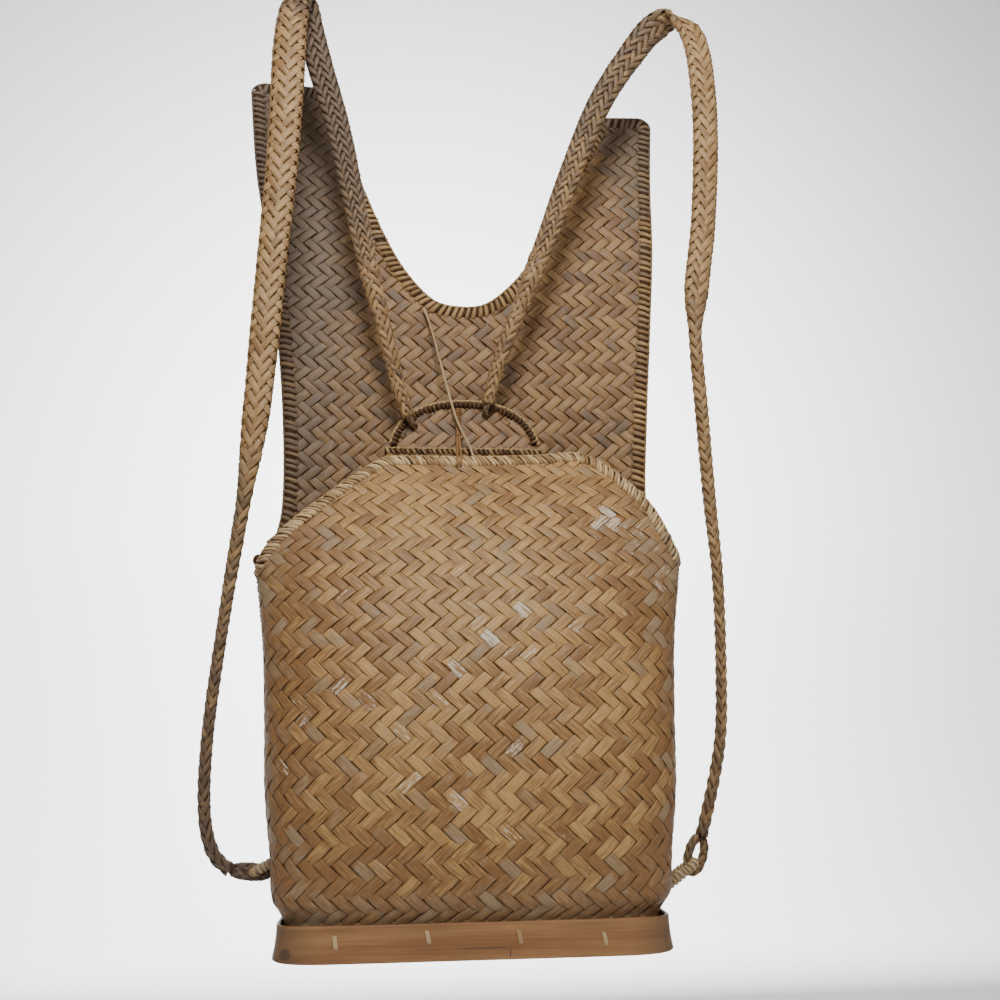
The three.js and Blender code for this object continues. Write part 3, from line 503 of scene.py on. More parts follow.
# %% Running every strip across a wall
def weave(chart, inside, up_range, across_range, seed, worn_at=None, aged_at=None, painted_shade_at=None,
          shift=(0.0, 0.0)):
    """A pile of strips over the flat places where inside is true."""
    rng = np.random.default_rng(seed)
    pile = new_pile()
    corners = np.array([(a, u) for a in across_range for u in up_range]) - shift
    lattice = corners @ np.linalg.inv(np.array([lean_right, lean_left]))
    low = np.floor(lattice.min(axis=0)).astype(int) - 1
    high = np.ceil(lattice.max(axis=0)).astype(int) + 1
    for family in (0, 1):
        run, step_way = (lean_right, lean_left) if family == 0 else (lean_left, lean_right)
        counts = np.arange(low[family] * 2, high[family] * 2 + 1) / steps_per_crossing
        for other in range(low[1 - family], high[1 - family] + 1):
            flat = counts[:, None] * run + other * step_way + shift
            mask = inside(flat[:, 0], flat[:, 1])
            edges = np.flatnonzero(np.diff(np.concatenate([[0], mask.astype(int), [0]])))
            for start, stop in zip(edges[::2], edges[1::2]):
                if stop - start < shortest_run:
                    continue
                add_strip(pile, chart, rng, counts[start:stop], flat[start:stop], other, run, family,
                          worn_at, aged_at, painted_shade_at)
    return pile


def add_strip(pile, chart, rng, counts, flat, other, run, family, worn_at, aged_at, painted_shade_at):
    """One strip of a wall, with its own small unevenness."""
    point, to_right, to_top, out = frame_on(chart, flat[:, 0], flat[:, 1])
    way = run / np.linalg.norm(run)
    along = way[0] * to_right + way[1] * to_top
    side = np.cross(out, along)
    height = float_height(counts + other + (2 if family else 0)) * weave_lift
    swell = np.interp(height, [-weave_lift, weave_lift], [0.97, 1.0])
    half = strip_half_width * rng.normal(1.0, width_spread) * swell
    float_number = np.floor((counts + other + 0.5) / 2).astype(int)
    float_number -= float_number[0]
    floats = float_number.max() + 1
    roll_share = rng.normal(0, roll_spread, floats)[float_number]
    tone = (0.5 * rng.random() + 0.5 * rng.random(floats))[float_number]
    # Painted shade: a strip's tone is lowered where the front turns away from the light
    tone = tone if painted_shade_at is None else tone - painted_shade_at(point)
    u = strip_section[:, 0]
    w = strip_section[:, 1]
    reach = u[None, :] * half[:, None] + rng.normal(0, side_spread)
    rise = (height[:, None] + w[None, :] * strip_half_thickness
            + roll_share[:, None] * u[None, :] * strip_half_thickness * 2)
    rings = point[:, None, :] + reach[..., None] * side[:, None, :] + rise[..., None] * out[:, None, :]
    distance = counts * crossing + rng.random() * grain_offset
    worn = 0.0 if worn_at is None else worn_at(point, float_number, rng)
    patchy = 0.6 * rng.random(floats)[float_number] ** 6
    aged = 0.0 if aged_at is None else np.clip(aged_at(point) + patchy, 0, 1)
    add_ribbon(pile, rings, distance, tone, worn, aged)


print("strips are", 2000 * strip_half_width, "mm wide")

# %% [markdown]
# ## Straw
# Split palm leaf is a smooth, slightly glossy strip with fine fibres along it. New strips are
# ochre, others have gone brown or grey, and where the skin has flaked a strip is nearly white.
# One node group, split_straw, holds what all these strips share. Each material sets its own
# colours, so the pouch can be warmer than the flap and the cane paler than both.

# %% Shader helpers
def wire(tree, source, target):
    """Links one socket to another."""
    tree.links.new(source, target)


def node(tree, kind, **values):
    """A new node with some of its settings."""
    made = tree.nodes.new(kind)
    for key, value in values.items():
        setattr(made, key, value)
    return made


def math_node(tree, operation, first, second=None):
    """One sum of two values, each a number or a socket."""
    made = node(tree, "ShaderNodeMath", operation=operation)
    for socket, value in zip(made.inputs, (first, second)):
        if isinstance(value, (int, float)):
            socket.default_value = value
        elif value is not None:
            wire(tree, value, socket)
    return made.outputs[0]


def mix_colour(tree, factor, first, second):
    """A mix of two colours, each given or a socket."""
    made = node(tree, "ShaderNodeMix", data_type="RGBA", clamp_result=True)
    for socket, value in zip((made.inputs[0], made.inputs[6], made.inputs[7]), (factor, first, second)):
        if isinstance(value, (int, float)):
            socket.default_value = value
        elif isinstance(value, tuple):
            socket.default_value = (*value, 1)
        else:
            wire(tree, value, socket)
    return made.outputs[2]


def spread(tree, value, low, high, to_low=0.0, to_high=1.0):
    """Eases a value from one range to another."""
    made = node(tree, "ShaderNodeMapRange", interpolation_type="SMOOTHSTEP")
    wire(tree, value, made.inputs["Value"])
    for key, number in (("From Min", low), ("From Max", high), ("To Min", to_low), ("To Max", to_high)):
        made.inputs[key].default_value = number
    return made.outputs[0]


def scale_colour(tree, colour, factor):
    """A colour made lighter or darker by a factor."""
    made = node(tree, "ShaderNodeVectorMath", operation="SCALE")
    wire(tree, colour, made.inputs[0])
    wire(tree, factor, made.inputs["Scale"])
    return made.outputs[0]


print("shader helpers ready")


# %% The group that every strip shares
def build_split_straw():
    """Colour, roughness and height of a split leaf strip, from its tone, wear, age and UV map."""
    tree = bpy.data.node_groups.new("split_straw", "ShaderNodeTree")
    for name, kind, value in (
        ("Light", "NodeSocketColor", (0.5, 0.3, 0.13, 1)),
        ("Dark", "NodeSocketColor", (0.28, 0.14, 0.05, 1)),
        ("Weathered", "NodeSocketColor", (0.25, 0.19, 0.15, 1)),
        ("Flaked", "NodeSocketColor", (0.72, 0.62, 0.5, 1)),
        ("Fibre Scale", "NodeSocketFloat", 1.0),
        ("Edge Shade", "NodeSocketFloat", 0.45),
    ):
        socket = tree.interface.new_socket(name, in_out="INPUT", socket_type=kind)
        socket.default_value = value
    for name, kind in (("Color", "NodeSocketColor"), ("Roughness", "NodeSocketFloat"),
                       ("Height", "NodeSocketFloat")):
        tree.interface.new_socket(name, in_out="OUTPUT", socket_type=kind)
    given = node(tree, "NodeGroupInput").outputs
    result = node(tree, "NodeGroupOutput").inputs

    place = node(tree, "ShaderNodeUVMap", uv_map="strip").outputs[0]
    tone, worn, aged = (node(tree, "ShaderNodeAttribute", attribute_name=key).outputs["Fac"]
                        for key in ("tone", "worn", "aged"))
    halves = node(tree, "ShaderNodeSeparateXYZ")
    wire(tree, place, halves.inputs[0])
    along, across = halves.outputs[0], halves.outputs[1]

    def fibres(along_scale, across_scale, detail):
        """Noise stretched along the strip."""
        joined = node(tree, "ShaderNodeCombineXYZ")
        wire(tree, math_node(tree, "MULTIPLY", along, along_scale), joined.inputs[0])
        wide = math_node(tree, "MULTIPLY", across, given["Fibre Scale"])
        wire(tree, math_node(tree, "MULTIPLY", wide, across_scale), joined.inputs[1])
        noise = node(tree, "ShaderNodeTexNoise")
        wire(tree, joined.outputs[0], noise.inputs["Vector"])
        noise.inputs["Scale"].default_value = 1.0
        noise.inputs["Detail"].default_value = detail
        noise.inputs["Roughness"].default_value = 0.6
        return noise.outputs["Fac"]

    streak = fibres(60.0, 5.0, 3.0)
    fine = fibres(90.0, 22.0, 3.0)
    blotch = fibres(110.0, 1.1, 3.0)
    crumb = fibres(420.0, 6.0, 2.0)

    # Tone of the strip, pushed lighter and darker along its fibres
    lean = math_node(tree, "MULTIPLY", math_node(tree, "SUBTRACT", streak, 0.5), 1.9)
    own_tone = spread(tree, math_node(tree, "ADD", tone, lean), 0.0, 0.9)
    base = mix_colour(tree, own_tone, given["Dark"], given["Light"])

    # Grey age in blotches, fuller where the strip is marked as aged
    grey = math_node(tree, "ADD", math_node(tree, "MULTIPLY", aged, 1.25),
                     math_node(tree, "MULTIPLY", math_node(tree, "SUBTRACT", blotch, 0.5), 1.2))
    body = mix_colour(tree, spread(tree, grey, 0.1, 1.0), base, given["Weathered"])
    body = scale_colour(tree, body, spread(tree, fine, 0.34, 0.66, 0.64, 1.2))

    # Ragged pale flakes where the skin has come off
    ragged = math_node(tree, "ADD", math_node(tree, "MULTIPLY", streak, 0.65),
                       math_node(tree, "MULTIPLY", crumb, 0.35))
    flake = spread(tree, math_node(tree, "ADD", worn, ragged), 0.98, 1.1)
    body = mix_colour(tree, flake, body, given["Flaked"])

    # Small dark specks in the leaf
    body = scale_colour(tree, body, spread(tree, crumb, 0.66, 0.76, 1.0, 0.55))

    # Painted shade towards both long edges, where strips and strands meet their neighbours
    centred = math_node(tree, "ABSOLUTE", math_node(tree, "SUBTRACT", across, 0.5))
    edge = node(tree, "ShaderNodeMapRange", interpolation_type="SMOOTHSTEP")
    wire(tree, centred, edge.inputs["Value"])
    edge.inputs["From Min"].default_value = 0.41
    edge.inputs["From Max"].default_value = 0.5
    edge.inputs["To Min"].default_value = 1.0
    wire(tree, given["Edge Shade"], edge.inputs["To Max"])
    wire(tree, scale_colour(tree, body, edge.outputs[0]), result["Color"])

    rough = math_node(tree, "ADD", spread(tree, fine, 0.2, 0.8, 0.4, 0.6),
                      math_node(tree, "MULTIPLY", flake, 0.25))
    wire(tree, rough, result["Roughness"])
    raised = math_node(tree, "MULTIPLY", math_node(tree, "ADD", streak, flake), 0.5)
    height = math_node(tree, "ADD", fine, raised)
    wire(tree, height, result["Height"])
    return tree


split_straw = build_split_straw()
print("split_straw has", len(split_straw.nodes), "nodes")


# %% Materials for strips
flaked_colour = (0.62, 0.52, 0.4)
fibre_depth = 0.0003


def straw_material(name, light, dark, weathered, fibre=1.0, edge=0.45, bump=0.4, gloss=0.28):
    """A straw finish with its own colours."""
    material = bpy.data.materials.new(name)
    material.use_nodes = True
    tree = material.node_tree
    shader = tree.nodes["Principled BSDF"]
    straw = node(tree, "ShaderNodeGroup", node_tree=split_straw)
    straw.inputs["Light"].default_value = (*light, 1)
    straw.inputs["Dark"].default_value = (*dark, 1)
    straw.inputs["Weathered"].default_value = (*weathered, 1)
    straw.inputs["Flaked"].default_value = (*flaked_colour, 1)
    straw.inputs["Fibre Scale"].default_value = fibre
    straw.inputs["Edge Shade"].default_value = edge
    wire(tree, straw.outputs["Color"], shader.inputs["Base Color"])
    wire(tree, straw.outputs["Roughness"], shader.inputs["Roughness"])
    bumps = node(tree, "ShaderNodeBump")
    bumps.inputs["Strength"].default_value = bump
    bumps.inputs["Distance"].default_value = fibre_depth
    wire(tree, straw.outputs["Height"], bumps.inputs["Height"])
    wire(tree, bumps.outputs[0], shader.inputs["Normal"])
    shader.inputs["Specular IOR Level"].default_value = gloss
    return material


# Each finish: its light, its dark and its weathered colour
front_straw = straw_material("front_straw", (0.47, 0.272, 0.096), (0.235, 0.116, 0.042),
                             (0.30, 0.205, 0.115))
flap_straw = straw_material("flap_straw", (0.315, 0.178, 0.066), (0.165, 0.08, 0.029),
                            (0.128, 0.083, 0.047))
inner_straw = straw_material("inner_straw", (0.30, 0.165, 0.065), (0.15, 0.07, 0.025), (0.13, 0.09, 0.058))
rim_cane = straw_material("rim_cane", (0.70, 0.49, 0.25), (0.29, 0.165, 0.065), (0.24, 0.17, 0.105),
                          fibre=0.6, edge=0.3)
edge_cane = straw_material("edge_cane", (0.40, 0.245, 0.10), (0.22, 0.12, 0.045), (0.15, 0.105, 0.07),
                           fibre=0.6, edge=0.3)
# Its near-black dark, used by the arch's low-toned stitches, is partly painted shade under the roll
arch_cane = straw_material("arch_cane", (0.44, 0.28, 0.12), (0.09, 0.045, 0.018), (0.12, 0.08, 0.05),
                           fibre=0.5, edge=0.35)
braid_straw = straw_material("braid_straw", (0.43, 0.265, 0.115), (0.25, 0.135, 0.05), (0.125, 0.082, 0.05),
                             fibre=0.7, edge=0.4, bump=0.25)
pale_cane = straw_material("pale_cane", (0.56, 0.40, 0.21), (0.40, 0.26, 0.115), (0.28, 0.21, 0.14),
                           fibre=0.5, edge=0.4)
# Near-black for the cores inside rolls and straps: painted shade in the gaps between stitches and strands
gap_shade_core = straw_material("gap_shade_core", (0.07, 0.035, 0.014), (0.035, 0.017, 0.008), (0.045, 0.03, 0.022),
                           fibre=0.5, edge=0.8, gloss=0.05)
tie_cane = straw_material("tie_cane", (0.30, 0.155, 0.055), (0.17, 0.08, 0.026), (0.15, 0.10, 0.065),
                          fibre=0.5, edge=0.4)
print("straw finishes made")


# %% [markdown]
# ## The pouch and the flap
# The near wall is woven up to just under its rim, the far wall right up into the two ears. The
# edges of the mat are cut along the real outline, and the bindings hide the cut ends. Flaked
# strips sit where the photograph has its pale patches, a diagonal trail down the left of the
# pouch and a cluster at its upper right. The flap has aged most at its upper left, and its grey
# beside the straps is partly painted strap shadow.

# %% Where each wall ends
bind_cover = 0.003
seam_lap = 0.003
mat_low = 0.006
seam_over = 0.004


def rim_top(x):
    """Height of the rim's upper line over a place across."""
    return seam_height + read(rim_line, x / seam_half, 1) * (rim_height - seam_height)


def neck_line(x):
    """Lowest height that is cut away between the ears."""
    rise = read(neckline, (x - neck_shift) / neck_half, 1)
    ear = np.where(x < neck_shift, left_ear, right_ear)
    return neck_low + rise * (ear - neck_low)


def flap_edge(z, side):
    """Half width of the flap; side is 1 at the left and 2 at the right."""
    return read(flap_sides, z / seam_height, side) * seam_half


def half_length(chart, table, z):
    """Half the length of a wall's plan curve at some heights."""
    grid = chart[0]
    steps = np.linalg.norm(np.diff(grid, axis=1), axis=2)
    on_wall = np.abs(grid[:, 1:, 0]) < read(table, grid[:, 1:, 2] / seam_height, 1) * seam_half * 0.99999
    return np.interp(z, grid[:, 0, 2], (steps * on_wall).sum(axis=1) / 2)


def inside_near(across, up):
    """Whether flat places lie on the near wall, under its rim."""
    x, _, z = place_on(near_chart, across, up).T
    on_wall = np.abs(across) < half_length(near_chart, near_sections, z) + seam_lap
    return on_wall & (z < rim_top(x) - bind_cover) & (z > mat_low)


def inside_far(across, up):
    """Whether flat places lie on the far wall or on the flap with its ears."""
    x, _, z = place_on(far_chart, across, up).T
    low = z < seam_height + seam_over
    on_wall = np.abs(across) < half_length(far_chart, far_sections, z) + seam_lap
    on_flap = (x > bind_cover - flap_edge(z, 1)) & (x < flap_edge(z, 2) - bind_cover)
    in_neck = (np.abs(x - neck_shift) < neck_half) & (z > neck_line(x) - bind_cover)
    top = np.where(x < 0, left_ear, right_ear) - bind_cover
    return np.where(low, on_wall, on_flap) & ~in_neck & (z < top) & (z > mat_low)


near_round = 2 * float(half_length(near_chart, near_sections, seam_height))
print("the near wall is", round(1000 * near_round), "mm round at the top of its seams")

# %% Where strips have flaked: across, height and radius
flaked_spots = np.array([
    (-0.088, 0.171, 0.006), (-0.072, 0.155, 0.005), (-0.051, 0.135, 0.0055), (-0.030, 0.115, 0.005),
    (-0.010, 0.097, 0.005), (0.099, 0.290, 0.009), (0.112, 0.272, 0.008), (0.010, 0.200, 0.005),
    (0.035, 0.222, 0.006), (-0.014, 0.181, 0.006), (0.061, 0.242, 0.005), (0.02, 0.075, 0.004),
])
# Where more strips have flaked a little: across, height, radius across, radius up and chance
flaked_areas = np.array([
    (0.0, 0.17, 0.4, 0.4, 0.035), (0.10, 0.265, 0.035, 0.04, 0.45), (0.035, 0.20, 0.06, 0.035, 0.22),
    (-0.03, 0.14, 0.06, 0.035, 0.15), (0.03, 0.075, 0.05, 0.03, 0.12),
])
# Where the walls have gone grey: across, height, radius across, radius up and strength
front_grey = np.array([
    (0.0, 0.005, 0.20, 0.04, 0.45), (-0.15, 0.24, 0.03, 0.10, 0.4), (0.155, 0.25, 0.03, 0.09, 0.4),
    (0.10, 0.26, 0.05, 0.05, 0.15), (0.0, 0.10, 0.2, 0.06, 0.12),
])
# Painted shade on the front, darker towards its sides and its foot: the same five numbers
front_painted_shade = np.array([
    (-0.158, 0.15, 0.055, 0.3, 0.85), (0.162, 0.15, 0.05, 0.3, 0.7), (0.0, 0.012, 0.3, 0.045, 0.7),
])
# Where the flap has gone grey, and beside the straps where its grey is partly painted strap shadow: the
# same five numbers
flap_grey_and_shade = np.array([
    (-0.17, 0.66, 0.075, 0.16, 1.0), (-0.14, 0.48, 0.05, 0.12, 0.5), (-0.14, 0.33, 0.045, 0.07, 0.5),
    (0.15, 0.66, 0.06, 0.07, 0.65), (0.16, 0.45, 0.025, 0.2, 0.4), (-0.05, 0.42, 0.05, 0.08, 0.2),
])


def aged_on(spots):
    """Strength of soft round patches at places on a wall, for grey age and for painted shade."""
    def aged_at(point):
        """Sum of all patches at some points."""
        reach = np.hypot((point[:, None, 0] - spots[None, :, 0]) / spots[None, :, 2],
                         (point[:, None, 2] - spots[None, :, 1]) / spots[None, :, 3])
        return (np.exp(-(reach ** 2)) * spots[None, :, 4]).sum(axis=1)
    return aged_at


def flaked_on(spots, areas):
    """Wear of each float of a strip: high at a spot, and by chance within a worn area."""
    chance_at = aged_on(areas)

    def worn_at(point, float_number, rng):
        """One wear for each float, at its middle."""
        size = np.bincount(float_number)
        middle = np.stack([np.bincount(float_number, point[:, k]) / size for k in range(3)], axis=1)
        away = np.hypot(middle[:, None, 0] - spots[None, :, 0], middle[:, None, 2] - spots[None, :, 1])
        close = (away < spots[None, :, 2]).any(axis=1)
        loose = rng.random(len(size)) < chance_at(middle)
        strength = np.where(close, rng.uniform(0.44, 0.58, len(size)), 0.0)
        strength = np.where(loose & ~close, rng.uniform(0.3, 0.5, len(size)), strength)
        return strength[float_number]
    return worn_at


print(len(flaked_spots), "flaked places on the pouch")

# %% Weave both walls
near_across, far_across = 0.2, 0.215
front = make_mesh("front_weave", weave(
    near_chart, inside_near, (0, near_chart[1][-1]), (-near_across, near_across), seed=11,
    worn_at=flaked_on(flaked_spots, flaked_areas), aged_at=aged_on(front_grey),
    painted_shade_at=aged_on(front_painted_shade)))
finish_piece(front, front_straw, "straw", "front_shell")

back = make_mesh("rear_weave", weave(
    far_chart, inside_far, (0, far_chart[1][-1]), (-far_across, far_across), seed=12,
    worn_at=flaked_on(flaked_spots[:0], flaked_areas[:1]), aged_at=aged_on(flap_grey_and_shade)))
finish_piece(back, flap_straw, "flap_straw", "back_panel")

# %% [markdown]
# ## Floor, facing and yoke
# Three smaller mats complete the weaving: the floor inside the wooden band, a short facing behind
# the rim, and the half-moon yoke that carries the straps. They use the same strips on flat or
# nearly flat maps, so only their outlines are new.

# %% Sizes of the small mats
rim_half_width, rim_half_depth = 0.0045, 0.0032
flap_half_width, flap_half_depth = 0.0055, 0.0025
facing_half_width, facing_half_depth = 0.003, 0.0026
yoke_half_width, yoke_half_depth = 0.00325, 0.00325
floor_height = 0.005
facing_half, facing_shift, facing_drop, facing_rise = 0.062, -0.003, 0.046, 0.0075
yoke_half, yoke_shift, yoke_rise, yoke_drop, yoke_foot = 0.060, -0.0027, 0.048, 0.024, 0.002
arch_squareness = 2.3
lean_room = 0.0014
facing_offset = rim_half_depth + lean_room + gap + wall / 2
yoke_offset = facing_offset + facing_half_depth + gap + wall / 2
facing_top = rim_height + facing_rise
print("the facing ends", round(1000 * facing_top), "mm and the yoke",
      round(1000 * (rim_height + yoke_foot + yoke_rise)), "mm above the foot")


# %% Maps of the small mats
def facing_depth(x, z):
    """Depth of the facing, just behind the rim."""
    return near_depth(np.zeros_like(x), z) + facing_offset


def yoke_depth(x, z):
    """Depth of the yoke, just behind the facing."""
    return near_depth(np.zeros_like(x), z) + yoke_offset


def standing_map(depth_at, half, shift, low, high):
    """A map for a narrow sheet that stands behind the rim."""
    x, z = np.meshgrid(shift + np.linspace(-half, half, 31), np.linspace(low, high, 31))
    grid = np.stack([x, depth_at(x, z), z], axis=-1)
    up = np.concatenate([[0], np.cumsum(np.linalg.norm(np.diff(grid[:, 15], axis=0), axis=1))])
    return grid, up, half


floor_half, floor_reach = half_band_width - in_band - wall, half_band_depth - in_band - wall
floor_chart = flat_map(floor_half, floor_reach, floor_height - wall / 2)


def inside_floor(across, up):
    """Whether flat places lie within the band's outline."""
    share = (np.abs(across) / floor_half) ** band_squareness
    return share + (np.abs(up - floor_reach) / floor_reach) ** band_squareness < 1


print("the floor mat is", round(2000 * floor_half), "by", round(2000 * floor_reach), "mm")

# %% Weave the small mats
floor_mat = make_mesh("floor_weave", weave(
    floor_chart, inside_floor, (0, 2 * floor_reach), (-floor_half, floor_half), seed=13,
    aged_at=lambda p: np.full(len(p), 0.45)))
finish_piece(floor_mat, inner_straw, "straw", "floor_mat")

facing_chart = standing_map(facing_depth, facing_half, facing_shift, rim_height - facing_drop, facing_top)
facing_length = facing_chart[1][-1]
facing = make_mesh("facing_weave", weave(
    facing_chart, lambda a, u: (np.abs(a) < facing_half) & (u > 0) & (u < facing_length - bind_cover),
    (0, facing_length), (-facing_half, facing_half), seed=14))
finish_piece(facing, inner_straw, "straw", "inner_facing")

yoke_chart = standing_map(yoke_depth, yoke_half, yoke_shift, rim_height - yoke_drop,
                          rim_height + yoke_foot + yoke_rise)


def inside_yoke(across, up):
    """Whether flat places lie within the yoke's arch."""
    z = place_on(yoke_chart, across, up)[:, 2]
    rise = np.maximum(z - rim_height - yoke_foot, 0) / (yoke_rise - 2 * yoke_half_width)
    share = np.abs(across) / (yoke_half - 2 * yoke_half_width)
    return (share**arch_squareness + rise**arch_squareness < 1.05) & (np.abs(across) < yoke_half)


yoke = make_mesh("yoke_weave", weave(
    yoke_chart, inside_yoke, (0, yoke_chart[1][-1]), (-yoke_half, yoke_half), seed=15,
    aged_at=lambda p: np.full(len(p), 0.15)))
finish_piece(yoke, inner_straw, "flap_straw", "yoke_tab")

# %% [markdown]
# ## Bound edges
# Every edge is whipped: a strand is wound round a roll of straw, over the edge and back, hundreds
# of times. One closed loop of strand is worked out from the roll's oval, then repeated along the
# edge with a little unevenness. A screw modifier could wind one long coil, but it can't follow
# an edge that bends round the pouch, and it would make every turn alike.

# %% Lines along an edge
def unit(v):
    """Vectors made one long."""
    return v / (np.linalg.norm(v, axis=-1, keepdims=True) + 1e-12)


def even_steps(points, step):
    """Points of a line at even distances, and those distances."""
    points = np.asarray(points, float)
    along = np.concatenate([[0], np.cumsum(np.linalg.norm(np.diff(points, axis=0), axis=1))])
    at = np.linspace(0, along[-1], max(int(along[-1] / step), 2) + 1)
    return np.stack([np.interp(at, along, points[:, i]) for i in range(3)], axis=1), at


def inset_line(line, distance):
    """A line of the front view moved to its right by a distance."""
    line = np.asarray(line, float)
    step = np.diff(line, axis=0)
    side = unit(np.stack([step[:, 1], -step[:, 0]], axis=1))
    into = np.concatenate([side[:1], side])
    mid = unit(into + np.concatenate([side, side[-1:]]))
    reach = distance / np.maximum((mid * into).sum(axis=1), 0.4)
    return line + mid * reach[:, None]


def smooth_rows(values, width):
    """A running mean along the first direction, with its ends held."""
    padded = np.concatenate([values[:1].repeat(width, 0), values, values[-1:].repeat(width, 0)])
    total = np.cumsum(np.concatenate([np.zeros_like(padded[:1]), padded]), axis=0)
    return (total[2 * width + 1:] - total[:-2 * width - 1]) / (2 * width + 1)


def edge_track(line, depth_at, step=0.0012):
    """Even points along an edge, with the ways along it, off the edge and out of the sheet."""
    line = np.asarray(line, float)

    def lift(x, z):
        """Points of the front view at their depth."""
        return np.stack([x, depth_at(x, z), z], axis=-1)

    centre, at = even_steps(lift(line[:, 0], line[:, 1]), step)
    x, z = centre[:, 0], centre[:, 2]
    probe = 0.0005
    face = unit(np.cross(lift(x + probe, z) - lift(x - probe, z), lift(x, z + probe) - lift(x, z - probe)))
    along = unit(np.gradient(centre, axis=0))
    face = unit(smooth_rows(face, 4))
    off = unit(np.cross(face, along))
    return {"centre": centre, "at": at, "along": along, "off": off, "face": unit(np.cross(along, off))}


def on_track(track, at):
    """Centre and the three ways of a track at some distances."""
    return [np.stack([np.interp(at, track["at"], track[key][:, i]) for i in range(3)], axis=-1)
            for key in ("centre", "along", "off", "face")]


print("edge lines ready")

# %% Whipping
strand_section = np.array([(-1.0, -0.35), (-0.6, 0.7), (0.0, 1.0), (0.6, 0.7), (1.0, -0.35)])
loop_steps = 14


def whip(pile, rng, track, half_width, half_depth, pitch, lean=0.0, strand=0.0019, thick=0.0007,
         taper=0.0, aged_at=None, stop=None, tones=(0.0, 1.0), bundle=1):
    """Loops of strand round a roll; lean is how far a loop's outer side sits behind its inner one."""
    stop = track["at"][-1] if stop is None else stop
    angle = np.arange(loop_steps) * 2 * np.pi / loop_steps
    narrowing = 1 - taper * np.cos(angle)
    for k in range(int(stop / pitch) * bundle):
        if k % bundle == 0:
            place = (k // bundle + 0.5 + rng.normal(0, 0.07)) * pitch
            tilt = lean * rng.normal(1.0, 0.12)
        beside = (k % bundle - (bundle - 1) / 2) * strand
        at = place + beside * narrowing - tilt / 2 * np.cos(angle)
        centre, along, off, face = on_track(track, np.clip(at, 0, track["at"][-1]))
        c, s = np.cos(angle)[:, None], np.sin(angle)[:, None]
        puff = rng.normal(1.0, 0.03)
        point = centre + half_width * puff * c * off + half_depth * puff * s * face
        radial = unit(c / half_width * off + s / half_depth * face)
        way = unit(np.roll(point, -1, axis=0) - np.roll(point, 1, axis=0))
        side = unit(np.cross(radial, way))
        half = strand / 2 * rng.normal(1.0, 0.07) * narrowing
        rings = (point[:, None, :]
                 + strand_section[None, :, 0, None] * half[:, None, None] * side[:, None, :]
                 + strand_section[None, :, 1, None] * thick * radial[:, None, :])
        tone = tones[0] + (tones[1] - tones[0]) * rng.random()
        age = 0.0 if aged_at is None else float(np.clip(aged_at(centre[:1])[0] + rng.normal(0, 0.12), 0, 1))
        distance = angle * (half_width + half_depth) / 2 + rng.random() * 5
        add_ribbon(pile, rings, distance, tone, 0.0, age, closed=True, across=strand_section[:, 0])


print("whipping ready")


# %% Plain tubes and twisted cord
def tube(pile, centre, wide, thick, half_wide, half_thick, sides=8, tone=0.5, aged=0.0):
    """A plain oval tube through some centres."""
    angle = np.arange(sides) * 2 * np.pi / sides
    half_wide = np.broadcast_to(half_wide, len(centre))[:, None, None]
    half_thick = np.broadcast_to(half_thick, len(centre))[:, None, None]
    rings = (centre[:, None, :] + half_wide * np.cos(angle)[None, :, None] * wide[:, None, :]
             + half_thick * np.sin(angle)[None, :, None] * thick[:, None, :])
    along = np.concatenate([[0], np.cumsum(np.linalg.norm(np.diff(centre, axis=0), axis=1))])
    add_ribbon(pile, rings, along, tone, 0.0, aged, across=np.abs(angle / np.pi - 1) * 2 - 1)


def core_of(pile, track, half_wide, half_thick, every=3, tone=0.5, aged=0.0):
    """The plain core of a roll, inside its whipping."""
    tube(pile, track["centre"][::every], track["off"][::every], track["face"][::every] * -1,
         half_wide, half_thick, tone=tone, aged=aged)


def twist(pile, rng, track, radius, strand, pitch, shift=(0.0, 0.0), aged_at=None, per_turn=7,
          tones=(0.3, 1.0), count=2, sides=5):
    """Strands twisted round each other along a track, moved off it by two distances."""
    at = np.arange(0, track["at"][-1], pitch / per_turn)
    centre, along, off, face = on_track(track, at)
    centre = centre + shift[0] * off + shift[1] * face
    for k in range(count):
        turn = 2 * np.pi * (at / pitch + k / count)
        c, s = np.cos(turn)[:, None], np.sin(turn)[:, None]
        out = c * off + s * face
        path = centre + radius * out
        way = unit(np.gradient(path, axis=0))
        side = unit(np.cross(out, way))
        age = 0.0 if aged_at is None else np.clip(aged_at(path), 0, 1)
        tone = (tones[0] + (tones[1] - tones[0]) * rng.random()) * np.ones(len(at))
        tube(pile, path, side, unit(np.cross(side, way)) * -1, strand, strand * 0.8, sides, tone, age)


print("tubes and cord ready")

# %% [markdown]
# The rim of the pouch has leaning, leaf-shaped strands with a fine twisted lip on top. The flap's
# edge has straight stitches set a little apart, so the core shows between them, and the core's
# near-black colour is painted shade for those gaps. A thin cord runs along its outside. Both
# rolls keep to the middle lines of the frame's rolls.

# %% The rim of the pouch
def table_line(table, scale, shift, steps):
    """Even places across a table's line, and its heights there."""
    across = np.linspace(table[0][0], table[-1][0], steps + 1)
    return shift + across * scale, read(table, across, 1)


rim_x, rim_rise = table_line(rim_line, seam_half, 0, 72)
rim_path = np.stack([rim_x, seam_height + rim_rise * (rim_height - seam_height)], axis=1)
rim_inset = inset_line(rim_path, rim_half_width)
rim_inset = rim_inset[np.abs(rim_inset[:, 0]) < seam_half * 0.998]
rim_track = edge_track(rim_inset, near_depth)

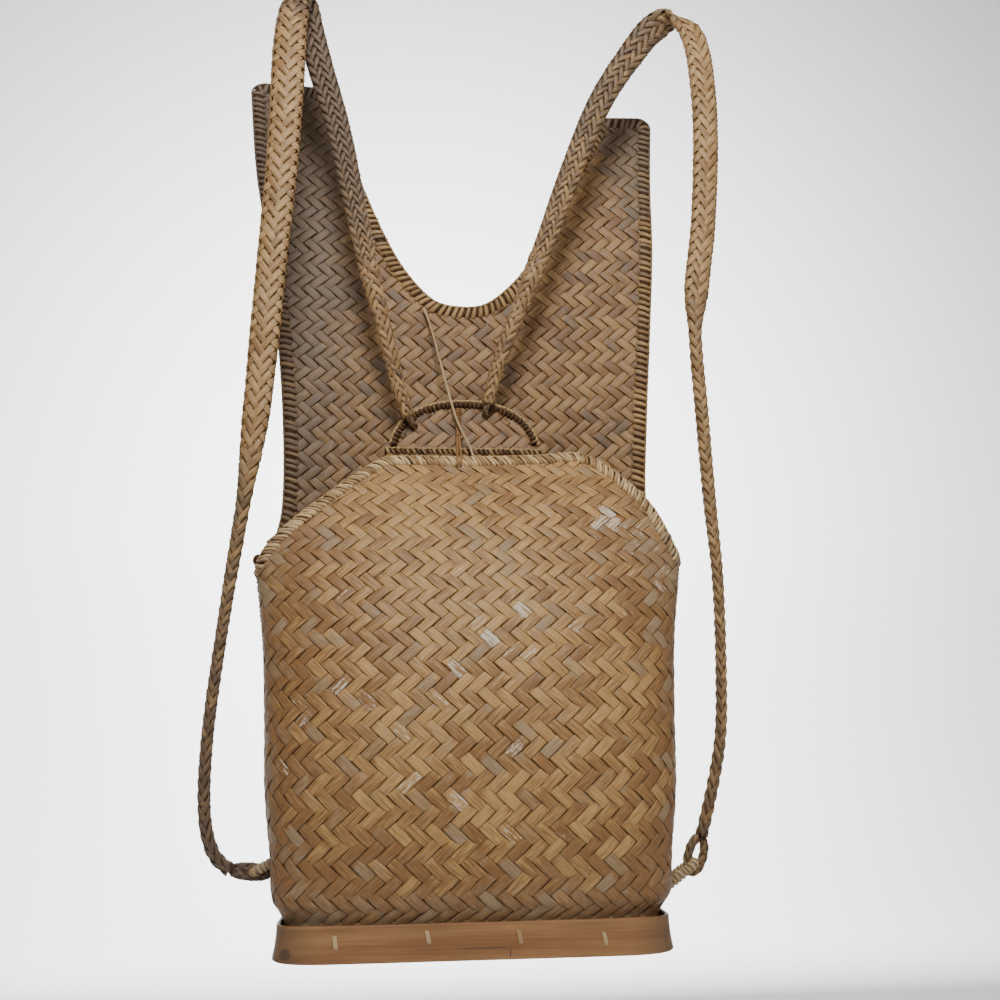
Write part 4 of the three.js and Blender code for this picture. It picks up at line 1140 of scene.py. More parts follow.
rng = np.random.default_rng(21)
rim_pile, core_pile = new_pile(), new_pile()
core_of(core_pile, rim_track, rim_half_width * 0.86, rim_half_depth * 0.84)
whip(rim_pile, rng, rim_track, rim_half_width - 0.0004, rim_half_depth - 0.0004, pitch=0.0061, lean=0.0062,
     strand=0.0025, thick=0.001, taper=0.3, aged_at=aged_on(front_grey), bundle=2)
twist(rim_pile, rng, rim_track, radius=0.0006, strand=0.00075, pitch=0.0075,
      shift=(rim_half_width - 0.0001, 0.0003), aged_at=aged_on(front_grey))
rim = make_mesh("rim_whipping", rim_pile)
finish_piece(rim, rim_cane, "cane", "front_rim")

# %% The facing's rim
facing_z = facing_top - facing_half_width
facing_line = [(facing_shift + facing_half * s, facing_z) for s in np.linspace(-1, 1, 30)]
facing_track = edge_track(facing_line, facing_depth)
facing_pile = new_pile()
core_of(core_pile, facing_track, facing_half_width * 0.84, facing_half_depth * 0.84)
whip(facing_pile, rng, facing_track, facing_half_width - 0.0002, facing_half_depth - 0.0002, pitch=0.0040,
     lean=0.003, strand=0.0023, taper=0.2, tones=(-0.1, 0.7))
twist(facing_pile, rng, facing_track, radius=0.0004, strand=0.001, pitch=0.011,
      shift=(facing_half_width - 0.0002, 0.0004), tones=(0.8, 1.1))
facing_rim = make_mesh("facing_whipping", facing_pile)
finish_piece(facing_rim, arch_cane, "cane", "facing_binding")

# %% The yoke's arch
arch_angle = np.pi * (1 - np.linspace(0, 1, 61))
arch_across = np.sign(np.cos(arch_angle)) * np.abs(np.cos(arch_angle)) ** (2 / arch_squareness)
arch_x = yoke_shift + yoke_half * arch_across
arch_z = rim_height + yoke_foot + yoke_rise * np.abs(np.sin(arch_angle)) ** (2 / arch_squareness)
arch_line = inset_line(np.stack([arch_x, arch_z], axis=1), yoke_half_width)
arch_track = edge_track(arch_line[arch_line[:, 1] > facing_top + yoke_half_width], yoke_depth)
yoke_pile = new_pile()
core_of(core_pile, arch_track, yoke_half_width * 0.84, yoke_half_depth * 0.84)
# Low tones darken the arch's stitches, partly their own brown and partly painted shade under the roll
whip(yoke_pile, rng, arch_track, yoke_half_width - 0.0003, yoke_half_depth - 0.0003, pitch=0.0036,
     lean=0.0006, strand=0.0022, tones=(-0.3, 0.25))
twist(yoke_pile, rng, arch_track, radius=0.0005, strand=0.0014, pitch=0.012,
      shift=(yoke_half_width - 0.0010, 0.0014), tones=(0.8, 1.1))
yoke_rim = make_mesh("yoke_whipping", yoke_pile)
finish_piece(yoke_rim, arch_cane, "binding", "yoke_binding")


# %% The flap's edge
def flap_line():
    """The flap's outline from the left seam over both ears to the right seam."""
    start = 1.012 * seam_height + 2 * flap_half_width

    def climb(side, top):
        """One side of the flap, up to its ear and round the ear's corner."""
        z = np.linspace(start, top - ear_corner, 40)
        turn = np.linspace(0, np.pi / 2, 9)[1:-1]
        edge = flap_edge(top, side)
        x = np.concatenate([flap_edge(z, side), edge - ear_corner * (1 - np.cos(turn))])
        return np.stack([x, np.concatenate([z, top - ear_corner * (1 - np.sin(turn))])], axis=1)

    left, right = climb(1, left_ear) * (-1, 1), climb(2, right_ear)[::-1]
    x, rise = table_line(neckline, neck_half, neck_shift, 60)
    ear = np.where(x < neck_shift, left_ear, right_ear)
    return np.concatenate([left, np.stack([x, neck_low + rise * (ear - neck_low)], axis=1), right])


flap_track = edge_track(inset_line(flap_line(), flap_half_width), far_depth)
flap_pile = new_pile()
core_of(core_pile, flap_track, flap_half_width * 0.86, flap_half_depth * 0.84)
whip(flap_pile, rng, flap_track, flap_half_width - 0.0003, flap_half_depth - 0.0003, pitch=0.0054,
     lean=-0.003, strand=0.0041, thick=0.001, taper=0.14, aged_at=aged_on(flap_grey_and_shade))
twist(flap_pile, rng, flap_track, radius=0.0004, strand=0.0009, pitch=0.013,
      shift=(flap_half_width - 0.0002, 0.0002), aged_at=aged_on(flap_grey_and_shade), per_turn=6)
flap_rim = make_mesh("flap_whipping", flap_pile)
finish_piece(flap_rim, edge_cane, "binding", "panel_binding")


# %% The far wall's edge at each side, from the rim round to the flap
def free_track(points, off_way, step=0.0006):
    """A track along any line in space, with a given way off it."""
    centre, at = even_steps(points, step)
    along = unit(np.gradient(centre, axis=0))
    off_way = np.asarray(off_way, float)
    off = unit(np.broadcast_to(off_way, centre.shape) - (along @ off_way)[:, None] * along)
    return {"centre": centre, "at": at, "along": along, "off": off, "face": unit(np.cross(along, off))}


def height_up(chart, z):
    """How far up a wall's map a height lies."""
    grid, ups, _ = chart
    return np.interp(z, grid[:, grid.shape[1] // 2, 2], ups)


side_pile = new_pile()
side_level = seam_height + 0.0025
side_half_width, side_half_depth = 0.0038, 0.0026
past_seam, under_flap, side_points = 0.002, 0.044, 30
seam_across = float(half_length(far_chart, far_sections, side_level))
side_up = np.full(side_points, height_up(far_chart, side_level))
for side in (-1, 1):
    across = side * np.linspace(seam_across + past_seam, seam_across - under_flap, side_points)
    side_track = free_track(place_on(far_chart, across, side_up), (0.0, 0.0, 1.0))
    core_of(core_pile, side_track, side_half_width - 0.0004, side_half_depth - 0.0004, every=6)
    whip(side_pile, rng, side_track, side_half_width, side_half_depth, pitch=0.0054, lean=-0.003,
         strand=0.0041, thick=0.0009, taper=0.14, aged_at=aged_on(flap_grey_and_shade))
side_rims = make_mesh("side_whipping", side_pile)
finish_piece(side_rims, edge_cane, "binding")
cores = make_mesh("edge_cores", core_pile)
finish_piece(cores, gap_shade_core, "binding")

# %% [markdown]
# ## Straps
# Each strap starts in a lashing round the yoke's arch, climbs to the shoulder, falls to the foot
# and narrows on its way into a thin rope with an eye. Its route is a smooth line through places
# of the photograph, given as shares of real sizes. A curve object could carry a flat section, but
# here every stretch needs its own width, so the route is kept as plain points.

# %% Route and shape of the straps
strap_half_width, strap_half_thickness, rope_half = 0.011, 0.004, 0.004
crown_height, crown_depth = 0.7245, -0.016
lash_radius = 0.0075
loop_long, loop_tube = 0.012, 0.0026
# Width and thickness along the strap, as shares of the flat part's and of the rope's
strap_shape = [
    (0, 0.42, 0.85), (0.06, 0.55, 1), (0.16, 0.82, 1), (0.3, 1.02, 1), (0.35, 1.12, 1), (0.4, 1.17, 1),
    (0.46, 1.12, 1), (0.58, 1.0, 1), (0.64, 0.96, 1), (0.69, 0.88, 1),
]
rope_shape = [(0.64, 1.25, 1.1), (0.75, 1.2, 1.05), (0.85, 0.95, 0.95), (1, 1, 1)]
# Inner legs from the lashing to the shoulder: shares of the rise, of the way across and of the depth
left_inner = [
    (0, 0, 0), (0.067, 0.087, 0.12), (0.169, 0.185, 0.25), (0.309, 0.326, 0.4), (0.504, 0.49, 0.5),
    (0.7, 0.655, 0.62), (0.85, 0.82, 0.7), (0.95, 0.924, 0.77), (0.993, 0.968, 0.87),
]
right_inner = [
    (0, 0, 0), (0.036, 0.019, 0.09), (0.114, 0.07, 0.17), (0.25, 0.178, 0.31), (0.409, 0.306, 0.46),
    (0.592, 0.445, 0.56), (0.79, 0.618, 0.66), (0.914, 0.782, 0.75), (0.982, 0.9, 0.88),
]
# Outer legs from the shoulder to the foot: shares of the height, the seam's half width and the depth
left_outer = [
    (0.985, 0.92, 0.42), (0.945, 0.937, 0.5), (0.84, 0.94, 0.55), (0.742, 0.951, 0.556),
    (0.647, 0.971, 0.574), (0.546, 0.99, 0.593), (0.463, 1.01, 0.574), (0.369, 1.049, 0.537),
    (0.258, 1.107, 0.463), (0.132, 1.16, 0.37), (0.071, 1.163, 0.315), (0.04, 1.147, 0.278),
    (0.016, 1.107, 0.222), (0.002, 1.042, 0.148),
]
right_outer = [
    (0.985, 1.19, 0.39), (0.955, 1.228, 0.46), (0.9, 1.243, 0.51), (0.832, 1.24, 0.53),
    (0.706, 1.192, 0.537), (0.624, 1.134, 0.556), (0.571, 1.111, 0.556), (0.471, 1.124, 0.5),
    (0.374, 1.14, 0.444), (0.291, 1.16, 0.389), (0.19, 1.153, 0.333), (0.125, 1.134, 0.296),
    (0.085, 1.101, 0.241), (0.047, 1.062, 0.148), (0.024, 1.036, 0.093),
]
print("the straps turn", round(1000 * crown_height), "mm above the foot")


# %% The way of each strap
def smooth_route(points, per_span=14):
    """A smooth line through chosen points, slower where they lie close together."""
    points = np.asarray(points, float)
    points = np.concatenate([[2 * points[0] - points[1]], points, [2 * points[-1] - points[-2]]])
    pieces = []
    for i in range(1, len(points) - 2):
        p = points[i - 1:i + 3]
        d = np.maximum(np.linalg.norm(np.diff(p, axis=0), axis=1) ** 0.5, 1e-6)
        turn_in = (p[1] - p[0]) / d[0] - (p[2] - p[0]) / (d[0] + d[1]) + (p[2] - p[1]) / d[1]
        turn_out = (p[2] - p[1]) / d[1] - (p[3] - p[1]) / (d[1] + d[2]) + (p[3] - p[2]) / d[2]
        first, second = turn_in * d[1], turn_out * d[1]
        t = np.linspace(0, 1, per_span, endpoint=False)[:, None]
        pieces.append((2 * t**3 - 3 * t**2 + 1) * p[1] + (t**3 - 2 * t**2 + t) * first
                      + (3 * t**2 - 2 * t**3) * p[2] + (t**3 - t**2) * second)
    return np.concatenate(pieces + [points[-2:-1]])


def lash_place(shift):
    """Centre of a lashing on the arch, and the way into the arch."""
    z = np.interp(shift, arch_line[:, 0], arch_line[:, 1])
    slope = np.interp(shift + 0.001, arch_line[:, 0], arch_line[:, 1]) - z
    along = unit(np.array([0.001, 0, slope]))
    centre = np.array([shift, float(yoke_depth(np.array(shift), z)), z])
    return centre, np.array([along[2], 0, -along[0]])


eyelet_depth = -0.06 * pouch_half_depth
eyelet_root = 0.82 * seam_half
eyelet_level = band_height + 0.027
# Narrow is where the flat part turns into rope, turn moves the plaits round it, and width is its own
# share of the common width along the strap
straps = {
    "left": {
        "inner": left_inner, "outer": left_outer, "lash": lash_place(-0.047), "crown": -0.139, "side": -1,
        "eye": 0.0028, "narrow": (0.69, 0.765), "turn": 2.0, "age": 0.85, "seed": 31,
        "width": [(0, 1), (0.37, 1), (0.42, 1.05), (1, 1.05)],
        "root": np.array([-eyelet_root, eyelet_depth, eyelet_level + 0.010]),
        "tip": np.array([-0.95 * seam_half, eyelet_depth, eyelet_level]),
    },
    "right": {
        "inner": right_inner, "outer": right_outer, "lash": lash_place(0.015), "crown": 0.172, "side": 1,
        "eye": 0.0052, "narrow": (0.61, 0.65), "turn": 1.6, "age": 0.55, "seed": 32,
        "width": [(0, 1), (0.35, 1), (0.38, 0.84), (0.5, 0.88), (0.64, 0.94), (0.7, 1), (1, 1)],
        "root": np.array([eyelet_root, eyelet_depth, eyelet_level - 0.019]),
        "tip": np.array([seam_half, eyelet_depth, eyelet_level]),
    },
}


def strap_route(place):
    """A strap's middle line, from its lashing over its crown to its eye."""
    start = place["lash"][0] - (0, lash_radius, 0)
    crown = np.array([place["crown"], crown_depth, crown_height])
    rising = [start + np.array([a, d, r]) * (crown - start) for r, a, d in place["inner"]]
    falling = [(place["side"] * a * seam_half, -d * pouch_half_depth,
                place["tip"][2] + r * (crown_height - place["tip"][2])) for r, a, d in place["outer"]]
    return smooth_route([*rising, crown, *falling])


for name, place in straps.items():
    print(name, "strap is", round(even_steps(strap_route(place), 0.002)[1][-1], 3), "m long")

# %% [markdown]
# The straps are tubular braids, pressed flat. With the same over-two rule as the twill, but
# counted round the tube, the strands line up in columns of V shapes, as on the real straps. One
# strand could be drawn and turned round the tube by an array, but the tube changes its width all
# the way along. So each strand is worked out step by step on an oval that follows the strap.
# The strands are finer on the inner legs, eight each way, and broader on the outer ones, six each
# way. The rope has four each way.

# %% Places round an oval
# Even distances round an oval, for ovals from flat to round
flattest, oval_rows, oval_steps = 0.15, 12, 128
oval_ratios = np.linspace(flattest, 1.0, oval_rows)


def oval_table():
    """One row of angles for each oval, at even distances round it."""
    fine = np.linspace(0, 2 * np.pi, 513)
    rows = []
    for ratio in oval_ratios:
        around = np.cumsum(np.hypot(np.diff(np.cos(fine)), ratio * np.diff(np.sin(fine))))
        around = np.concatenate([[0], around])
        rows.append(np.interp(np.linspace(0, 1, oval_steps + 1), around / around[-1], fine))
    return np.array(rows)


oval_angles = oval_table()


def oval_angle(share, ratio):
    """Angle on an oval for a share of the way round it."""
    place = np.mod(share, 1) * oval_steps
    i = np.minimum(place.astype(int), oval_steps - 1)
    f = place - i
    row = np.clip((ratio - flattest) / (1 - flattest), 0, 1) * (oval_rows - 1)
    k = np.minimum(row.astype(int), oval_rows - 2)
    g = row - k
    low = oval_angles[k, i] * (1 - f) + oval_angles[k, i + 1] * f
    return low * (1 - g) + (oval_angles[k + 1, i] * (1 - f) + oval_angles[k + 1, i + 1] * f) * g


print("ovals have", oval_angles.shape[1], "places")

# %% Braiding round an oval
braid_section = np.array([(-1.0, -0.2), (-0.62, 0.72), (0.0, 1.05), (0.62, 0.72), (1.0, -0.2), (0.0, -0.7)])


def braid(pile, rng, body, columns, step, lift, thick, aged, turn=0.0):
    """A tubular braid over a body of ovals; step is the distance of a crossing along it."""
    at = body["at"]
    step = np.broadcast_to(step, len(at))
    level = np.concatenate([[0], np.cumsum(np.diff(at) / ((step[1:] + step[:-1]) / 2))])
    levels = np.arange(0, level[-1], 1 / steps_per_crossing)
    place = np.interp(levels, level, at)

    def sample(values):
        """Values of the body at each step of a strand."""
        values = np.asarray(values)
        if values.ndim == 1:
            return np.interp(place, at, values)
        return np.stack([np.interp(place, at, values[:, i]) for i in range(3)], axis=1)

    centre, wide, deep = (sample(body[key]) for key in ("centre", "wide", "thick"))
    half_wide, half_thick = sample(body["half_wide"]), sample(body["half_thick"])
    local_step, age = sample(step), sample(np.broadcast_to(aged, len(at)))
    ratio = half_thick / half_wide
    root = np.sqrt((3 * half_wide + half_thick) * (half_wide + 3 * half_thick))
    part = np.pi * (3 * (half_wide + half_thick) - root) / (2 * columns)
    half = 0.98 * part * local_step / np.hypot(part, local_step)
    face_shift = 1.5 - 1.5 * columns + turn
    for family in (0, 1):
        for k in range(columns):
            count = levels - 2 * k if family == 0 else 2 * k - levels
            angle = oval_angle((count - face_shift) / (2 * columns), ratio)
            c, s = np.cos(angle)[:, None], np.sin(angle)[:, None]
            radial = unit(c / half_wide[:, None] * wide + s / half_thick[:, None] * deep)
            high = float_height(count + (2 if family else 0)) * lift
            base = centre + half_wide[:, None] * c * wide + half_thick[:, None] * s * deep
            way = unit(np.gradient(base, axis=0))
            side = unit(np.cross(radial, way))
            float_number = np.floor((count * (1 - 2 * family) + 0.5) / 2).astype(int)
            float_number -= float_number.min()
            floats = float_number.max() + 1
            size = rng.normal(1.0, 0.04, floats)[float_number]
            shift = rng.normal(0, side_spread, floats)[float_number]
            reach = braid_section[None, :, 0] * (half * size)[:, None] + shift[:, None]
            rise = high[:, None] + braid_section[None, :, 1] * (thick * size)[:, None]
            rings = (base[:, None, :] + reach[..., None] * side[:, None, :]
                     + rise[..., None] * radial[:, None, :])
            own = rng.random()
            tone = 0.4 * own + 0.6 * rng.random(floats)[float_number]
            noise = rng.normal(0, 0.1, floats)[float_number]
            add_ribbon(pile, rings, place + rng.random() * grain_offset, tone, 0.0,
                       np.clip(age + noise, 0, 1), across=braid_section[:, 0])


print("a strand has", len(braid_section), "corners")


# %% Ovals along a strap and round a ring
def strap_body(route, place, start, stop):
    """Ovals along a share of a strap's route, with the strap's own width and thickness."""
    narrow = place["narrow"]
    centre, at = even_steps(route, 0.002)
    way = unit(smooth_rows(np.gradient(centre, axis=0), 2))
    share = at / at[-1]
    ease = np.clip((share - narrow[0]) / (narrow[1] - narrow[0]), 0, 1)
    ease = ease * ease * (3 - 2 * ease)
    wide_size, thick_size = (
        read(strap_shape, share, column) * own * (1 - ease) + read(rope_shape, share, column) * rope * ease
        for column, own, rope in ((1, strap_half_width, rope_half), (2, strap_half_thickness, rope_half)))
    wide_size = wide_size * np.interp(share, *zip(*place["width"]))
    bag_side = np.array([-1.0, 0.0, 0.0])
    wide = unit(smooth_rows(unit(bag_side - (way @ bag_side)[:, None] * way), 8))
    wide = unit(wide - (wide * way).sum(axis=1)[:, None] * way)
    keep = (share >= start) & (share <= stop)
    body = {"centre": centre, "wide": wide, "thick": unit(np.cross(wide, way)),
            "half_wide": wide_size, "half_thick": thick_size, "share": share}
    body = {key: value[keep] for key, value in body.items()}
    body["at"] = at[keep] - at[keep][0]
    return body


def slimmer(body, amount):
    """The same body, thinner all round by an amount."""
    return {**body, "half_wide": body["half_wide"] - amount, "half_thick": body["half_thick"] - amount}


def ring_body(centre, long_way, short_way, long, short, tube_half):
    """A closed ring as a body of ovals."""
    angle = np.linspace(0, 2 * np.pi, 61)
    c, s = np.cos(angle)[:, None], np.sin(angle)[:, None]
    points = centre + long * c * long_way + short * s * short_way
    axis = unit(np.cross(long_way, short_way))
    way = unit(-long * s * long_way + short * c * short_way)
    at = np.concatenate([[0], np.cumsum(np.linalg.norm(np.diff(points, axis=0), axis=1))])
    size = np.full(len(angle), tube_half)
    return {"centre": points, "wide": unit(np.cross(way, axis)), "thick": np.tile(axis, (len(angle), 1)),
            "half_wide": size, "half_thick": size, "at": at}


print("bodies for braids ready")

# %% Braid both straps
# Shares of the route at which one braid ends inside the next
foot_end, flat_start, inner_end, outer_start = 0.125, 0.115, 0.362, 0.358


def make_strap(name, place):
    """A strap's three braids, its lashing and its eye, with a near-black core inside as painted shade
    between the strands.
    """
    rng = np.random.default_rng(place["seed"])
    pile, core = new_pile(), new_pile()
    route = strap_route(place)
    joint = sum(place["narrow"]) / 2
    lower_age = place["age"]
    # The inner legs are greyer than the outer ones, partly for age and partly as painted shade
    inner_age_and_shade = 1.15 * lower_age
    thin = strap_body(route, place, 0.0, foot_end)
    braid(pile, rng, slimmer(thin, 0.0009), columns=5, step=0.0042, lift=0.0006, thick=0.0010, aged=0.3)
    inner = strap_body(route, place, flat_start, inner_end)
    outer = strap_body(route, place, outer_start, joint + 0.005)
    for flat, columns, lift, turn in ((inner, 8, 0.0007, 0.0), (outer, 6, 0.0005, place["turn"])):
        share = flat["share"]
        step = np.interp(share, [0.115, 0.25, 0.4, joint], [0.0040, 0.0043, 0.0053, 0.0050])
        age = np.interp(share, [0.115, 0.2, 0.28, 0.345, 0.385, joint - 0.03, joint],
                        [0.4, 0.8 * inner_age_and_shade, inner_age_and_shade, inner_age_and_shade, 0.1, 0.1, 0.35])
        braid(pile, rng, slimmer(flat, 0.0012), columns, step, lift, 0.0008, age, turn)
    rope = strap_body(route, place, joint - 0.008, 1.0)
    step = np.interp(rope["share"], [joint, joint + 0.08, 1.0], [0.0052, 0.0038, 0.0045])
    age = np.interp(rope["share"], [joint, joint + 0.03, 0.85, 1.0],
                    [0.35, 0.5 * lower_age, 0.65 * lower_age, lower_age])
    braid(pile, rng, slimmer(rope, 0.0009), columns=4, step=step, lift=0.0006, thick=0.0009, aged=age)
    for part, amount in ((thin, 0.0016), (inner, 0.0016), (outer, 0.0016), (rope, 0.0014)):
        body = slimmer(part, amount)
        tube(core, body["centre"][::3], body["wide"][::3], body["thick"][::3], body["half_wide"][::3],
             body["half_thick"][::3], aged=0.5)
    last = route[-1]
    pull = unit((last - place["tip"]) * (1, 0, 1))
    across = np.array([-pull[2], 0, pull[0]])
    centre = last - loop_long * pull
    centre[1] = place["tip"][1]
    eye_ring = ring_body(centre, pull, across, loop_long, place["eye"], loop_tube - 0.0003)
    lash_centre, inward = place["lash"]
    lashing = ring_body(lash_centre, inward, np.array([0.0, 1.0, 0.0]), lash_radius, lash_radius, 0.0019)
    braid(pile, rng, eye_ring, columns=4, step=0.0034, lift=0.0004, thick=0.0007, aged=lower_age)
    braid(pile, rng, lashing, columns=4, step=0.0030, lift=0.0004, thick=0.0006, aged=0.5)
    piece = make_mesh(name + "_braid", pile)
    finish_piece(piece, braid_straw, "braid", name)
    middle = make_mesh(name + "_core", core)
    finish_piece(middle, gap_shade_core, "braid")


for name, place in straps.items():
    make_strap("strap_" + name, place)

# %% [markdown]
# ## The wooden band
# The foot is a long strip of wood, bent round and stitched to the mat with pale cane. It could be
# extruded from a plan outline, but a ring of edges that is pulled up in a few steps and then
# thickened keeps clean quads, so its lower corners can be worn round. The strip's two ends overlap
# at the back, where a second short piece is laid over the first.

# %% Bend the strip
band_columns = 160
band_rows = 6
band_flare, band_waist = 0.0022, 0.0011
corner_wear = 0.0018
strip_squareness = 9.0

bpy.ops.object.select_all(action="DESELECT")
bpy.ops.mesh.primitive_circle_add(vertices=band_columns, radius=1.0, location=(0, 0, 0))
band = bpy.context.object
band.name = "wooden_band"
bpy.ops.object.mode_set(mode="EDIT")
for _ in range(band_rows):
    bpy.ops.mesh.extrude_region_move(TRANSFORM_OT_translate={"value": (0, 0, band_height / band_rows)})
bpy.ops.object.mode_set(mode="OBJECT")
print("the strip is", round(1000 * band_height, 1), "mm high and has", len(band.data.polygons), "faces")


# %% Shape the strip
def on_band(angle, rise):
    """A point of the band's outer face; its lower corners flare out and are worn round."""
    c, s = math.cos(angle), math.sin(angle)
    share = abs(c) ** (2 / strip_squareness)
    half = half_band_width + band_flare * (1 - rise) ** 2 - band_waist
    worn = corner_wear * (1 - rise) ** 2 * share ** 14
    return Vector((math.copysign(share * half, c),
                   math.copysign(abs(s) ** (2 / strip_squareness) * half_band_depth, s),
                   rise * band_height + worn)) + Vector(foot)


for vertex in band.data.vertices:
    x, y, z = vertex.co
    vertex.co = on_band(math.atan2(y, x), z / band_height)


def thicken(piece, thickness, offset, rounding):
    """Turns an open sheet's faces outwards, gives it a wall and rounds its edges."""
    only(piece)
    face = piece.data.polygons[len(piece.data.polygons) // 2]
    if face.normal.dot(face.center - Vector(foot)) < 0:
        bpy.ops.object.mode_set(mode="EDIT")
        bpy.ops.mesh.select_all(action="SELECT")
        bpy.ops.mesh.flip_normals()
        bpy.ops.object.mode_set(mode="OBJECT")
    add_modifier(piece, "SOLIDIFY", thickness=thickness, offset=offset, use_even_offset=True)
    add_modifier(piece, "BEVEL", width=rounding, segments=2, limit_method="ANGLE",
                 angle_limit=math.radians(50))


thicken(band, band_wall, -1, 0.0006)
print("the strip now has", len(band.data.polygons), "faces")

# %% The overlap behind
lap_left, lap_right = -0.034, 0.046
lap_columns, lap_rows = 24, 4
lap_share, lap_proud = 0.93, 0.0002


def band_bow(x):
    """Share of the band's depth that its long sides keep at a place across."""
    return (1 - (abs(x) / half_band_width) ** strip_squareness) ** (1 / strip_squareness)


bpy.ops.object.select_all(action="DESELECT")
bpy.ops.mesh.primitive_grid_add(x_subdivisions=lap_columns, y_subdivisions=lap_rows, size=1.0,
                                location=(0, 0, 0))
lap = bpy.context.object
for vertex in lap.data.vertices:
    x = lap_left + (vertex.co.x + 0.5) * (lap_right - lap_left)
    z = band_height * (0.5 + lap_share * vertex.co.y)
    vertex.co = Vector((x, half_band_depth * band_bow(x) + lap_proud, z)) + Vector(foot)
thicken(lap, 0.0016, 1, 0.0005)
bpy.ops.object.select_all(action="DESELECT")
lap.select_set(True)
band.select_set(True)
bpy.context.view_layer.objects.active = band
bpy.ops.object.join()
band.data.shade_smooth()
only(band)
bpy.ops.object.shade_smooth_by_angle(angle=math.radians(40))
print("band has", len(band.data.polygons), "faces")

# %% [markdown]
# The wood is a warm orange brown with straight grain along the strip, so its noise is stretched:
# slow along the bag, fast in height. Object coordinates do this without a UV map, because the
# strip stands upright all the way round. A knot and a short crack make it used, and its ends are
# darker, with dirt and with painted shade where the band turns round its corners.

# %% Wood of the band
def build_band_wood():
    """Streaked orange brown wood with a knot, a crack, and ends darkened by dirt and painted shade."""
    material = bpy.data.materials.new("band_wood")
    material.use_nodes = True
    tree = material.node_tree
    shader = tree.nodes["Principled BSDF"]
    centred = node(tree, "ShaderNodeMapping")
    centred.inputs["Location"].default_value = tuple(-foot)
    wire(tree, node(tree, "ShaderNodeTexCoord").outputs["Object"], centred.inputs["Vector"])
    place = centred.outputs[0]

    def grain(scale, detail, offset=0.0):
        """Noise stretched along the strip."""
        stretched = node(tree, "ShaderNodeMapping")
        stretched.inputs["Scale"].default_value = scale
        stretched.inputs["Location"].default_value = (offset, offset, offset)
        wire(tree, place, stretched.inputs["Vector"])
        noise = node(tree, "ShaderNodeTexNoise")
        wire(tree, stretched.outputs[0], noise.inputs["Vector"])
        noise.inputs["Scale"].default_value = 1.0
        noise.inputs["Detail"].default_value = detail
        return noise.outputs["Fac"]

    broad = grain((7, 7, 130), 3.0)
    fine = grain((22, 22, 900), 4.0, 3.0)
    vein = grain((5, 5, 420), 2.0, 7.0)
    cloud = grain((28, 28, 40), 3.0, 11.0)

    body = mix_colour(tree, spread(tree, broad, 0.3, 0.72), (0.225, 0.098, 0.032), (0.33, 0.162, 0.06))
    body = mix_colour(tree, spread(tree, vein, 0.60, 0.72, 0.0, 0.55), body, (0.19, 0.075, 0.026))
    body = scale_colour(tree, body, spread(tree, fine, 0.25, 0.75, 0.86, 1.10))
    body = scale_colour(tree, body, spread(tree, cloud, 0.3, 0.7, 0.9, 1.06))

    parts = node(tree, "ShaderNodeSeparateXYZ")
    wire(tree, place, parts.inputs[0])
    x, z = parts.outputs[0], parts.outputs[2]
    # Darker towards both ends: dirt, and painted shade where the band turns round its corners
    ends = spread(tree, math_node(tree, "ABSOLUTE", x), half_band_width - 0.034, half_band_width, 0.0, 0.75)
    ragged_ends = math_node(tree, "MULTIPLY", ends, spread(tree, cloud, 0.25, 0.6, 0.55, 1.0))
    body = mix_colour(tree, ragged_ends, body, (0.085, 0.055, 0.03))

    def near(across, height, wide, tall):
        """One inside an oval patch, fading to nothing at its edge."""
        from_x = math_node(tree, "MULTIPLY", math_node(tree, "SUBTRACT", x, across), 1 / wide)
        from_z = math_node(tree, "MULTIPLY", math_node(tree, "SUBTRACT", z, height), 1 / tall)
        away = math_node(tree, "ADD", math_node(tree, "MULTIPLY", from_x, from_x),
                         math_node(tree, "MULTIPLY", from_z, from_z))
        wobble = math_node(tree, "MULTIPLY", math_node(tree, "SUBTRACT", fine, 0.5), 1.2)
        return spread(tree, math_node(tree, "ADD", away, wobble), 0.35, 1.1, 1.0, 0.0)

    for across, height, wide, tall, colour in (
        (-0.1179, 0.0058, 0.0044, 0.0036, (0.085, 0.05, 0.03)),
        (0.003, 0.0072, 0.017, 0.00045, (0.10, 0.045, 0.018)),
        (0.0205, 0.0040, 0.0005, 0.0036, (0.10, 0.045, 0.018)),
        (-0.075, 0.0100, 0.022, 0.00030, (0.16, 0.07, 0.026)),
    ):
        body = mix_colour(tree, near(across, height, wide, tall), body, colour)

    wire(tree, body, shader.inputs["Base Color"])
    wire(tree, spread(tree, fine, 0.2, 0.8, 0.40, 0.55), shader.inputs["Roughness"])
    bumps = node(tree, "ShaderNodeBump")
    bumps.inputs["Strength"].default_value = 0.25
    bumps.inputs["Distance"].default_value = 0.0003
    raised = math_node(tree, "ADD", fine, math_node(tree, "MULTIPLY", vein, -0.6))
    wire(tree, raised, bumps.inputs["Height"])
    wire(tree, bumps.outputs[0], shader.inputs["Normal"])
    return material


finish_piece(band, build_band_wood(), "wood", "base_band")

# %% [markdown]
# Pale cane stitches hold the band to the mat. Each one is two strands side by side that come out
# of the wood, lie on it for a few millimetres and go back in.

# %% Stitches on the band
# Each stitch in front: across, height and lean; those behind are nearly its mirror image
band_stitches = [(-0.0874, 0.0125, 0.0006), (-0.0306, 0.0144, 0.0008), (0.0266, 0.0129, 0.0007),
                 (0.0801, 0.0104, 0.0008)]
stitch_half_length, stitch_strand, stitch_step = 0.0042, 0.0008, 0.00125
stitch_points, stitch_rise, stitch_sunk, behind_share = 9, 0.0011, 0.0006, 0.96


